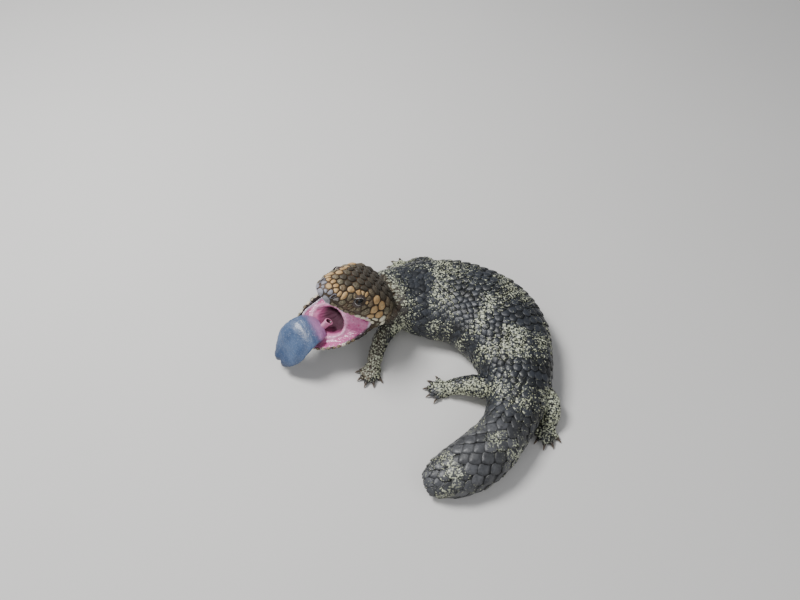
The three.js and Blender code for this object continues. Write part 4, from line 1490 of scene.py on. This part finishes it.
# The mouth's lining: the skin inside the gape again, finer, folded and wet
liningValues = {
    "lift": 0.3, "fold": 0.55, "rimRise": 1.3,
    # the crease tint is painted shade in the troughs of the folds
    "rose": (0.50, 0.125, 0.29), "pink": (0.62, 0.25, 0.42), "crease": (0.50, 0.055, 0.20),
    # the throat tint is a deeper flesh tint and painted shade; the near-black after it is painted shade in the
    # middle of the throat hollow
    "vein": (0.52, 0.08, 0.22), "rim": (0.80, 0.52, 0.66), "throat": (0.20, 0.035, 0.10),
    "deepShade": (0.055, 0.010, 0.026), "lip": (0.52, 0.44, 0.55), "lipBack": (0.030, 0.026, 0.034),
}


def sheetOf(name, mesh, chosen, marks):  # the chosen faces of a mesh as a finer sheet, some marks carried over
    picked = [tuple(mesh.polygons[i].vertices) for i in np.flatnonzero(chosen)]
    used = np.array(sorted({v for f in picked for v in f}))
    renumber = {v: i for i, v in enumerate(used)}
    sheet = bpy.data.meshes.new(name)
    sheet.from_pydata(
        [tuple(p) for p in coordinates(mesh)[used]], [], [tuple(renumber[v] for v in f) for f in picked])
    for label, values in marks.items():
        setFloat(sheet, label, values[used])
    return applied(finer(linked(name, sheet)), name)


def floatsOf(mesh, name):
    values = np.empty(len(mesh.vertices), np.float32)
    mesh.attributes[name].data.foreach_get("value", values)
    return values.astype(float)


def wave3(p, scale, seed):  # cheap smooth noise for folds, between -1 and 1
    turn = np.random.default_rng(seed)
    total = np.zeros(len(p))
    for octave in range(5):
        direction = turn.normal(size=(3, 3))
        phase = turn.uniform(0, 6.28, 3)
        total += np.prod(np.sin(p @ direction * scale * (1 + 0.35 * octave) + phase), axis=1)
    return total / 1.6


def makeLining():
    v = liningValues
    mesh = skin.data
    inside = faceMarks(mesh, mouthMask, True) > 0.5
    reach = faceMarks(mesh, throatMask, True)
    h = inHead(faceMarks(mesh, pose))
    hn = vectorsOf(mesh.polygons, "normal") @ headTurn
    jn = hn @ jawTurn
    facing = (hn[:, 2] < 0.35) | (jn[:, 2] > 0.1) | (hn[:, 0] > 0.3) | (reach < 1.05)
    outer = (np.abs(hn[:, 1]) > 0.86) & (np.abs(h[:, 1]) > 22)
    chosen = inside & facing & ~outer
    h0 = inHead(pose)
    thing = sheetOf("mouth_lining", mesh, chosen, {
        "reach": throatMask, "hx": h0[:, 0], "hy": h0[:, 1], "hz": h0[:, 2]})
    mesh = thing.data
    points = coordinates(mesh)
    normal = vectorsOf(mesh.vertices, "normal")
    edges = {}
    for face in mesh.polygons:
        for key in face.edge_keys:
            edges[key] = edges.get(key, 0) + 1
    border = sorted({i for key, n in edges.items() if n == 1 for i in key})
    tree = treeOf(points[border])
    inset = np.array([tree.find(p)[2] for p in points]) / mm
    h = np.stack([floatsOf(mesh, n) for n in ("hx", "hy", "hz")], -1)
    j = jawPlace(h)
    reach = floatsOf(mesh, "reach")
    for label in ("hx", "hy", "hz", "reach"):
        mesh.attributes.remove(mesh.attributes[label])
    # how far into the throat hollow a point lies; this drives the painted shade there
    deep = 1 - smoothStep(0.72, 1.0, reach)
    rim = np.exp(-((reach - 1.1) / 0.1) ** 2)
    folds = wave3(h * np.array([1, 1.4, 1]), 0.33, 4) * 0.6 + wave3(h, 0.8, 9) * 0.25
    roofLine = np.exp(-((np.abs(h[:, 1]) - 4.5) / 1.4) ** 2) * (j[:, 2] > 8) * (h[:, 0] > 16)
    rise = v["lift"] + v["fold"] * folds + v["rimRise"] * rim + 0.9 * roofLine
    rise = np.where(inset < 0.3, -0.3, rise * smoothStep(-0.6, 2.5, inset))
    points += normal * (rise * mm)[:, None]
    mesh.vertices.foreach_set("co", points.ravel())
    floor = 1 - smoothStep(2, 6, j[:, 2])
    # fold is high in the troughs of the folds and carries painted shade there
    for label, values in (
            ("deep", deep), ("inset", inset), ("fold", np.clip(0.5 - folds * 0.6, 0, 1)),
            ("pale", np.clip(rim * 0.9 + roofLine * 0.4, 0, 1)), ("floor", floor),
            ("back", (1 - smoothStep(14, 40, j[:, 0])) * floor)):
        setFloat(mesh, label, values)
    mesh.shade_smooth()
    return thing


def sinkSkin():  # the skin under the lining drops a little, so that the folds stay clear of it
    mesh = skin.data
    sink = mouthMask.copy()
    sink[rimEdges.ravel()] = 0
    points = coordinates(mesh) - vectorsOf(mesh.vertices, "normal") * (sink * 0.9 * mm)[:, None]
    mesh.vertices.foreach_set("co", points.ravel())


def liningMaterial():
    v = liningValues
    m = Coating("wet lining", Roughness=0.28, Coat_Weight=0.35, Coat_Roughness=0.15, Specular_IOR_Level=0.5)
    deep, inset, fold, pale, floor, back = m.attributes("deep", "inset", "fold", "pale", "floor", "back")
    broad = m.noise(70.0)
    veins = m.noise(330.0, 4.0, 0.7)
    colour = m.mixed(m.ramp(broad, 0.35, 0.68), v["rose"], v["pink"])
    # painted shade: the troughs of the folds darkened
    colour = m.mixed(m.times(m.ramp(fold, 0.5, 0.95), 0.75), colour, v["crease"])
    colour = m.mixed(m.times(m.ramp(veins, 0.52, 0.7), 0.3), colour, v["vein"])
    colour = m.mixed(m.times(pale, 0.55), colour, v["rim"])
    # towards the middle of the throat: a deeper flesh tint with painted shade, then painted shade alone
    colour = m.mixed(m.ramp(deep, 0.02, 0.5), colour, v["throat"])
    colour = m.mixed(m.ramp(deep, 0.45, 1.0), colour, v["deepShade"])
    margin = m.inverse(m.ramp(m.scaled(broad, 1.2, inset), 1.3, 2.6))
    lipTint = m.mixed(back, v["lip"], v["lipBack"])
    m.into("Base Color", m.mixed(m.times(margin, 0.9), colour, lipTint))
    m.into("Roughness", m.scaled(veins, 0.3, m.scaled(deep, 0.5, 0.14)))
    m.into("Coat Weight", m.times(m.inverse(deep), 0.35))  # dull where it is deep
    m.bump(m.plus(m.times(m.noise(420.0, 4.0), 0.8), veins), 0.35, 0.0008)
    return m.material


lining = makeLining()
sinkSkin()
lining.data.materials.append(liningMaterial())
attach(lining, "root")
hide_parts("palate", "mouth_floor", "throat")
print("lining", len(lining.data.polygons))

# The windpipe's mouth: a small pale tube standing up behind the tongue, open at its top, with painted shade
# inside it
glottisValues = {
    "joints": [(35, 1.5, -3.5), (32, 1.6, -1.2), (27.5, 2, 2.2)], "radius": 2.6,  # in the jaw's directions
    "profile": [  # share of the length, share of the radius; the last four turn back down inside
        (0.0, 1.0), (0.3, 0.95), (0.6, 0.95), (0.85, 1.05), (0.95, 1.22), (1.0, 1.18), (1.03, 1.0),
        (0.99, 0.72), (0.9, 0.55), (0.7, 0.42),
    ],
    # the inside tint is painted shade within the opening
    "pink": (0.72, 0.36, 0.50), "rose": (0.60, 0.20, 0.35), "inside": (0.07, 0.012, 0.03),
}


def makeGlottis():
    v = glottisValues
    along, _ = curveThrough(v["joints"], 40)
    rings = []
    for t, size in v["profile"]:
        forward = unit(along(min(t, 1)) - along(max(t - 0.05, 0)))
        side = np.array([0.0, 1.0, 0.0])
        up = unit(np.cross(forward, side))
        middle = along(min(t, 1)) + forward * max(t - 1, 0) * 8
        angles = np.linspace(0, 2 * math.pi, 24, endpoint=False)
        rings.append(fromJaw([
            middle + v["radius"] * size * (
                side * math.cos(a) * (1 + 0.15 * math.sin(a)) + up * math.sin(a) * 1.25)
            for a in angles]))
    points, faces = tubeMesh(rings)
    thing = meshOf("windpipe_mouth", points, faces)
    innerShade = np.zeros(len(points))
    # the rings that turn back down inside, and the end, are marked for painted shade
    innerShade[24 * 7:24 * 10] = 1
    innerShade[-1] = 1
    setFloat(thing.data, "deep", innerShade)
    m = Coating("windpipe", Roughness=0.25, Coat_Weight=0.4, Coat_Roughness=0.12)
    colour = m.mixed(m.noise(300.0), v["pink"], v["rose"])
    # painted shade inside the tube
    m.into("Base Color", m.mixed(m.ramp(*m.attributes("deep"), 0.1, 0.8), colour, v["inside"]))
    m.bump(m.noise(900.0), 0.2, 0.0004)
    thing.data.materials.append(m.material)
    return finer(thing)


glottis = makeGlottis()
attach(glottis, "root")

# The tongue: broad and flat, out over the front of the jaw and down, its tip notched and swollen
tongueValues = {
    "path": [  # in the jaw's directions: forward, left, up, half width
        (35, 0.3, -2.6, 9.5), (39.5, 0.6, 2.2, 13), (45, 1, 4.4, 14.6), (52, 1.8, 4, 15.5),
        (59, 2.6, 0, 16), (66, 3.4, -6.5, 14.5), (72, 4, -11.5, 10.5), (75, 4.4, -14.5, 5),
    ],
    "thickness": 4.7, "notch": 2.6, "ripple": 0.34,
    # the dot tint is the pale colour of the papillae, as light as the tongue's highlights: papillae colour and
    # painted sheen
    "dark": (0.036, 0.068, 0.145), "blue": (0.075, 0.125, 0.235), "dot": (0.17, 0.24, 0.38),
    "vein": (0.035, 0.06, 0.14), "tip": (0.022, 0.036, 0.085), "root": (0.40, 0.20, 0.38),
}


def makeTongue():
    v = tongueValues
    path = np.array(v["path"], float)
    along, _ = curveThrough(path[:, :3], 300)
    around = 48
    rings = []
    places = np.concatenate([np.linspace(0, 0.9, 50), 0.9 + 0.1 * np.sin(np.linspace(0, math.pi / 2, 23))[1:]])
    for t in places:
        half = np.interp(t, np.linspace(0, 1, len(path)), path[:, 3])
        if t > 0.8:
            half = min(12.4 * math.sqrt(max(1 - ((t - 0.8) / 0.2) ** 2, 0.004)) + 0.1, half + 0.3)
        forward = unit(along(min(t + 0.01, 1)) - along(max(t - 0.01, 0)))
        across = unit(np.cross((0, 0, 1), forward))
        up = np.cross(forward, across)
        thick = v["thickness"] / 2 * (1 if t < 0.86 else math.sqrt(max(1 - ((t - 0.86) / 0.142) ** 2, 0.02)))
        ring = []
        for k in range(around):
            a = 2 * math.pi * k / around
            side = math.copysign(abs(math.cos(a)) ** 0.72, math.cos(a))
            lift = thick * math.sin(a) * (1 - 0.35 * abs(side) ** 3)
            p = along(t) + across * half * side * 0.985
            y = half * side
            pull = v["notch"] * math.exp(-((y - 0.8) / 2.0) ** 2) * smoothStep(0.86, 1.0, t)
            crease = 0.55 * math.exp(-((y - 0.6) / 1.1) ** 2) * smoothStep(0.3, 0.5, t) if a < math.pi else 0
            swell = 0.9 * math.exp(-(((t - 0.93) / 0.035) ** 2 + ((y + 4.2) / 2.2) ** 2)) if a < math.pi else 0
            ring.append(p - forward * pull + up * (lift - crease + swell))
        rings.append(np.array(ring))
    points, faces = tubeMesh(rings)
    bumps = wave3(points, 0.9, 12) * 0.5 + wave3(points, 2.4, 13) * 0.35
    thing = meshOf("tongue_dressed", fromJaw(points), faces)
    mesh = thing.data
    moved = coordinates(mesh) + vectorsOf(mesh.vertices, "normal") * (bumps * v["ripple"] * mm)[:, None]
    mesh.vertices.foreach_set("co", moved.ravel())
    setFloat(mesh, "tall", np.append(np.repeat(places, around), [0, 1]))
    return thing


def tongueMaterial():
    v = tongueValues
    m = Coating("blue tongue", Roughness=0.35, Coat_Weight=0.3, Coat_Roughness=0.2, Specular_IOR_Level=0.5)
    tall, = m.attributes("tall")
    broad = m.noise(95.0, 3.0, 0.6)
    fine = m.noise(850.0, 3.0, 0.65)
    colour = m.mixed(m.ramp(broad, 0.32, 0.7), v["dark"], v["blue"])
    # pale papillae dots: their own tint and painted sheen
    dots = m.inverse(m.ramp(m.cells(950.0), 0.1, 0.45))
    colour = m.mixed(m.times(dots, 0.35), colour, v["dot"])
    colour = m.mixed(m.times(m.ramp(fine, 0.5, 0.72), 0.4), colour, v["vein"])
    tip = m.ramp(m.scaled(broad, 0.12, tall), 0.8, 1.02)
    colour = m.mixed(m.times(tip, 0.6), colour, v["tip"])
    root = m.inverse(m.ramp(m.scaled(broad, 0.22, tall), 0.2, 0.34))
    m.into("Base Color", m.mixed(m.times(root, 0.85), colour, v["root"]))
    m.into("Roughness", m.scaled(fine, 0.4, 0.18))
    m.bump(m.plus(m.times(dots, 0.7), fine), 0.5, 0.0006)
    return m.material


tongue = makeTongue()
tongue.data.materials.append(tongueMaterial())
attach(tongue, "root")
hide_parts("tongue")
print("tongue", len(tongue.data.polygons))

# Eyes: dark, wet balls behind thick pale-edged lids
eyeValues = {
    "outward": (0.12, 0.93, 0.34), "radius": 4.5, "flatten": 0.76, "pupil": 0.5,
    "rings": [  # size of each ring of the lids and its height over the ball; the last three lie on the skin
        (3.6, -0.5), (3.7, 0.15), (3.9, 0.4), (4.2, 0.35), (4.6, None), (5.1, None), (5.8, None),
    ],
    "black": (0.002, 0.002, 0.003), "iris": (0.012, 0.008, 0.005), "irisPale": (0.045, 0.026, 0.014),
    "edge": (0.006, 0.005, 0.005), "lid": (0.030, 0.022, 0.022), "lidPale": (0.105, 0.072, 0.055),
    "lidRim": (0.58, 0.55, 0.54),
}


def eyeFrame(side):
    x, y, z = eyeValues["outward"]
    out = unit(headTurn @ unit(np.array([x, side * y, z])))
    fore = unit(headTurn[:, 0] - out * (headTurn[:, 0] @ out))
    middle = headSpot("eye", side) - out * (eyeValues["radius"] - head["eyeRadius"])
    return middle, out, fore, np.cross(out, fore) * side


def makeEyeball(name, side):
    middle, out, fore, up = eyeFrame(side)
    rings, around = 26, 40
    points = []
    gaze = []
    for i in range(1, rings):
        polar = math.pi * i / rings
        bulge = 1 + 0.045 * math.exp(-(polar / 0.55) ** 2)
        for k in range(around):
            a = 2 * math.pi * k / around
            ray = out * math.cos(polar) + (fore * math.cos(a) + up * math.sin(a)) * math.sin(polar)
            points.append(middle + ray * eyeValues["radius"] * bulge)
            gaze.append(polar)
    faces = gridFaces(rings - 1, around)
    top, bottom = len(points), len(points) + 1
    points += [middle + out * eyeValues["radius"] * 1.045, middle - out * eyeValues["radius"]]
    gaze += [0, math.pi]
    faces += [((k + 1) % around, k, top) for k in range(around)]
    last = (rings - 2) * around
    faces += [(last + k, last + (k + 1) % around, bottom) for k in range(around)]
    if side < 0:
        faces = [f[::-1] for f in faces]
    thing = meshOf(name, np.array(points), faces)
    corner = thing.data.vertices
    if sum((corner[f.vertices[0]].co - Vector(placed(middle))).dot(f.normal) for f in thing.data.polygons) < 0:
        thing.data.flip_normals()
    setFloat(thing.data, "gaze", gaze)
    return thing


def eyeMaterial():
    v = eyeValues
    m = Coating("eye", Roughness=0.12, Coat_Weight=0.25, Coat_Roughness=0.03, Specular_IOR_Level=0.25)
    gaze, = m.attributes("gaze")
    streak = m.noise(1500.0)
    iris = m.mixed(streak, v["iris"], v["irisPale"])
    colour = m.mixed(m.ramp(gaze, v["pupil"], v["pupil"] + 0.08), v["black"], iris)
    m.into("Base Color", m.mixed(m.ramp(gaze, 0.72, 0.85), colour, v["edge"]))
    m.into("Roughness", m.scaled(streak, 0.06, 0.05))
    return m.material


def makeLids(side):  # a thick ring over the ball, pointed before and behind, resting on the skin outside
    middle, out, fore, up = eyeFrame(side)
    around = 44
    rings = []
    radius = eyeValues["radius"]
    for size, extra in eyeValues["rings"]:
        ring = []
        soft = smoothStep(3.8, 5.6, size)
        for k in range(around):
            a = 2 * math.pi * k / around
            tall = eyeValues["flatten"] + (1 - eyeValues["flatten"]) * soft
            point = 1 + 0.14 * math.cos(2 * a) * (1 - soft)
            flat = (fore * math.cos(a) * point + up * math.sin(a) * tall) * size
            if extra is None:
                p, slope = ontoHead(middle + flat + out * 2.2, out, 6)
                p = p + slope * (0.9 if size < 5 else 0.5 if size < 5.5 else -0.5)
            else:
                ball = math.sqrt(max(radius ** 2 - flat @ flat, 0.2))
                p = middle + flat + out * (ball + extra + 0.05 * math.sin(9 * a + side))
            ring.append(p)
        rings.append(np.array(ring))
    points = np.vstack(rings)
    faces = gridFaces(len(rings), around)
    thing = meshOf("lids_left" if side > 0 else "lids_right", points, faces)
    if sum(np.dot(f.normal, out) for f in thing.data.polygons) < 0:
        thing.data.flip_normals()
    setFloat(thing.data, "rim", np.repeat([0.3, 1, 1, 0.35, 0, 0, 0], around))
    return finer(thing)


def lidMaterial():
    v = eyeValues
    m = Coating("eyelids", Roughness=0.55)
    soft = m.noise(700.0)
    rim = m.ramp(m.scaled(soft, 0.3, *m.attributes("rim")), 0.7, 1.05)
    m.into("Base Color", m.mixed(rim, m.mixed(soft, v["lid"], v["lidPale"]), v["lidRim"]))
    m.bump(m.group(grain, Grain=1800.0, Wrinkle=1100.0), 0.5, 0.0005)
    return m.material


ballCoating, lidCoating = eyeMaterial(), lidMaterial()
for side, label in ((1, "left"), (-1, "right")):
    eyeball = makeEyeball("eyeball_" + label, side)
    eyeball.data.materials.append(ballCoating)
    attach(eyeball, "root")
    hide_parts("eye_" + label)
    lids = makeLids(side)
    lids.data.materials.append(lidCoating)
    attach(lids, "root")
print("eyes set")

# Nostrils and ear openings: a raised ring round a pit painted dark as shade
openingValues = {  # ring radius, pit radius, ring height, how tall for its width; then its two tints
    "nostril": (1.9, 1.25, 0.4, 0.8), "ear": (2.6, 1.9, 0.8, 1.35),
    "nostrilTints": ((0.10, 0.095, 0.105), (0.19, 0.18, 0.21)),
    "earTints": ((0.035, 0.024, 0.015), (0.11, 0.085, 0.055)),
    # the pit colour is painted shade in the openings
    "pitShade": (0.004, 0.003, 0.004),
}


def makeOpening(name, onto, ringRadius, pitRadius, height, tall):
    around = 24
    rings = []
    for size, lift in (
            (ringRadius + 0.5, -0.4), (ringRadius, 0.25 + height * 0.3), (ringRadius * 0.82, 0.3 + height),
            (pitRadius * 1.08, 0.25 + height * 0.8), (pitRadius * 0.9, 0.1), (pitRadius * 0.6, -0.35)):
        ring = []
        for k in range(around):
            a = 2 * math.pi * k / around
            p, out = onto(size * math.cos(a), size * math.sin(a) * tall)
            ring.append(p + out * lift)
        rings.append(np.array(ring))
    points = np.vstack(rings + [rings[-1].mean(axis=0)[None]])
    faces = gridFaces(len(rings), around)
    last = (len(rings) - 1) * around
    faces += [(last + k, last + (k + 1) % around, len(points) - 1) for k in range(around)]
    thing = meshOf(name, points, faces)
    _, out = onto(0, 0)
    if sum(np.dot(f.normal, out) for f in thing.data.polygons) < 0:
        thing.data.flip_normals()
    # the rings down in the pit carry the painted shade
    setFloat(thing.data, "deep", np.append(np.repeat([0, 0, 0, 0.6, 1, 1], around), 1))
    return finer(thing)


def openingMaterial(name, tints):
    m = Coating(name, Roughness=0.55)
    soft = m.noise(900.0)
    # the ring's own tints, then painted shade down in the pit
    m.into("Base Color", m.mixed(
        m.ramp(*m.attributes("deep"), 0.15, 0.7), m.mixed(soft, *tints), openingValues["pitShade"]))
    m.bump(soft, 0.3, 0.0004)
    return m.material


openingCoatings = {
    "nostril": openingMaterial("nostrils", openingValues["nostrilTints"]),
    "ear": openingMaterial("ear openings", openingValues["earTints"]),
}
for side, label in ((1, "left"), (-1, "right")):
    for kind, onto in (("nostril", ontoNostrilOf(side)), ("ear", ontoEarOf(side))):
        opening = makeOpening(kind + "_" + label, onto, *openingValues[kind])
        opening.data.materials.append(openingCoatings[kind])
        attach(opening, "root")

# Claws: short curved horn at the end of each toe
clawValues = {
    "radius": 1.05, "length": 3.7, "back": 2.0,
    "root": (0.035, 0.026, 0.02), "tip": (0.16, 0.11, 0.07), "grime": (0.015, 0.012, 0.01),
}


def makeClaws():
    v = clawValues
    built = []
    levels = []
    for leg in legs.values():
        for pad, along, length in toeLines(leg):
            tip = pad + along * (3 + length)
            path = [tip - along * v["back"] + (0, 0, 2.3 - pad[2]), tip + along * 0.6 + (0, 0, 2.4 - pad[2]),
                    tip + along * 2.3 + (0, 0, 1.6 - pad[2]), tip + along * v["length"] + (0, 0, 0.35 - pad[2])]
            built.append(limbTube(path, [v["radius"], v["radius"] * 0.95, v["radius"] * 0.62, 0.14], 10, 9))
            levels += list(np.repeat(np.linspace(0, 1, 9), 10)) + [0, 1]
    points, faces = joined(built)
    thing = meshOf("claws", points, faces)
    setCoordinates(thing.data, withinBox(coordinates(thing.data)))
    setFloat(thing.data, "tall", levels)
    return thing


def clawMaterial():
    v = clawValues
    m = Coating("claw horn", Roughness=0.4)
    tint = m.mixed(m.ramp(*m.attributes("tall"), 0.2, 1.0), v["root"], v["tip"])
    m.into("Base Color", m.mixed(m.times(m.noise(900.0), 0.5), tint, v["grime"]))
    m.bump(m.noise(1400.0), 0.25, 0.0003)
    return m.material


claws = makeClaws()
claws.data.materials.append(clawMaterial())
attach(claws, "root")
print("openings and claws set")


# Camera as in the photo: looking down on the animal from a little over half a metre
view = {"elevation": 55, "distance": 540, "lens": 29.25}
camera = bpy.data.cameras.new("camera")
camera.lens = view["lens"]
camera.sensor_width = 36
viewer = linked("camera", camera)
lean = math.radians(view["elevation"])
viewer.location = Vector(placed((0, -math.cos(lean) * view["distance"], math.sin(lean) * view["distance"])))
viewer.rotation_euler = (math.pi / 2 - lean, 0, 0)
bpy.context.scene.camera = viewer


def softLight(name, place, energy, size):  # turned to the middle of the animal
    light = bpy.data.lights.new(name, "AREA")
    light.energy = energy
    light.size = size
    thing = linked(name, light)
    thing.location = place
    thing.rotation_euler = (-Vector(place)).to_track_quat("-Z", "Y").to_euler()


softLight("key light", (-0.45, 0.25, 0.85), 13, 0.32)
softLight("fill light", (0.75, -0.6, 0.6), 2.6, 0.8)
softLight("front light", (-0.5, -0.8, 0.5), 2.2, 0.6)
world = bpy.data.worlds.new("studio")
world.use_nodes = True
world.node_tree.nodes["Background"].inputs[0].default_value = (0.9, 0.93, 1.0, 1)
world.node_tree.nodes["Background"].inputs[1].default_value = 0.3
bpy.context.scene.world = world

floorCoating = Coating("pale floor", Roughness=0.9)
floorTint = floorCoating.mixed(floorCoating.noise(3.0), (0.60, 0.59, 0.57), (0.66, 0.65, 0.63))
floorCoating.into("Base Color", floorTint)
floorMesh = bpy.data.meshes.new("floor")
edge = 1.5
floorCorners = [(-edge, -edge, 0), (edge, -edge, 0), (edge, edge, 0), (-edge, edge, 0)]
floorMesh.from_pydata(floorCorners, [], [(0, 1, 2, 3)])
floorMesh.materials.append(floorCoating.material)
floor = linked("floor", floorMesh)
print("stage set")
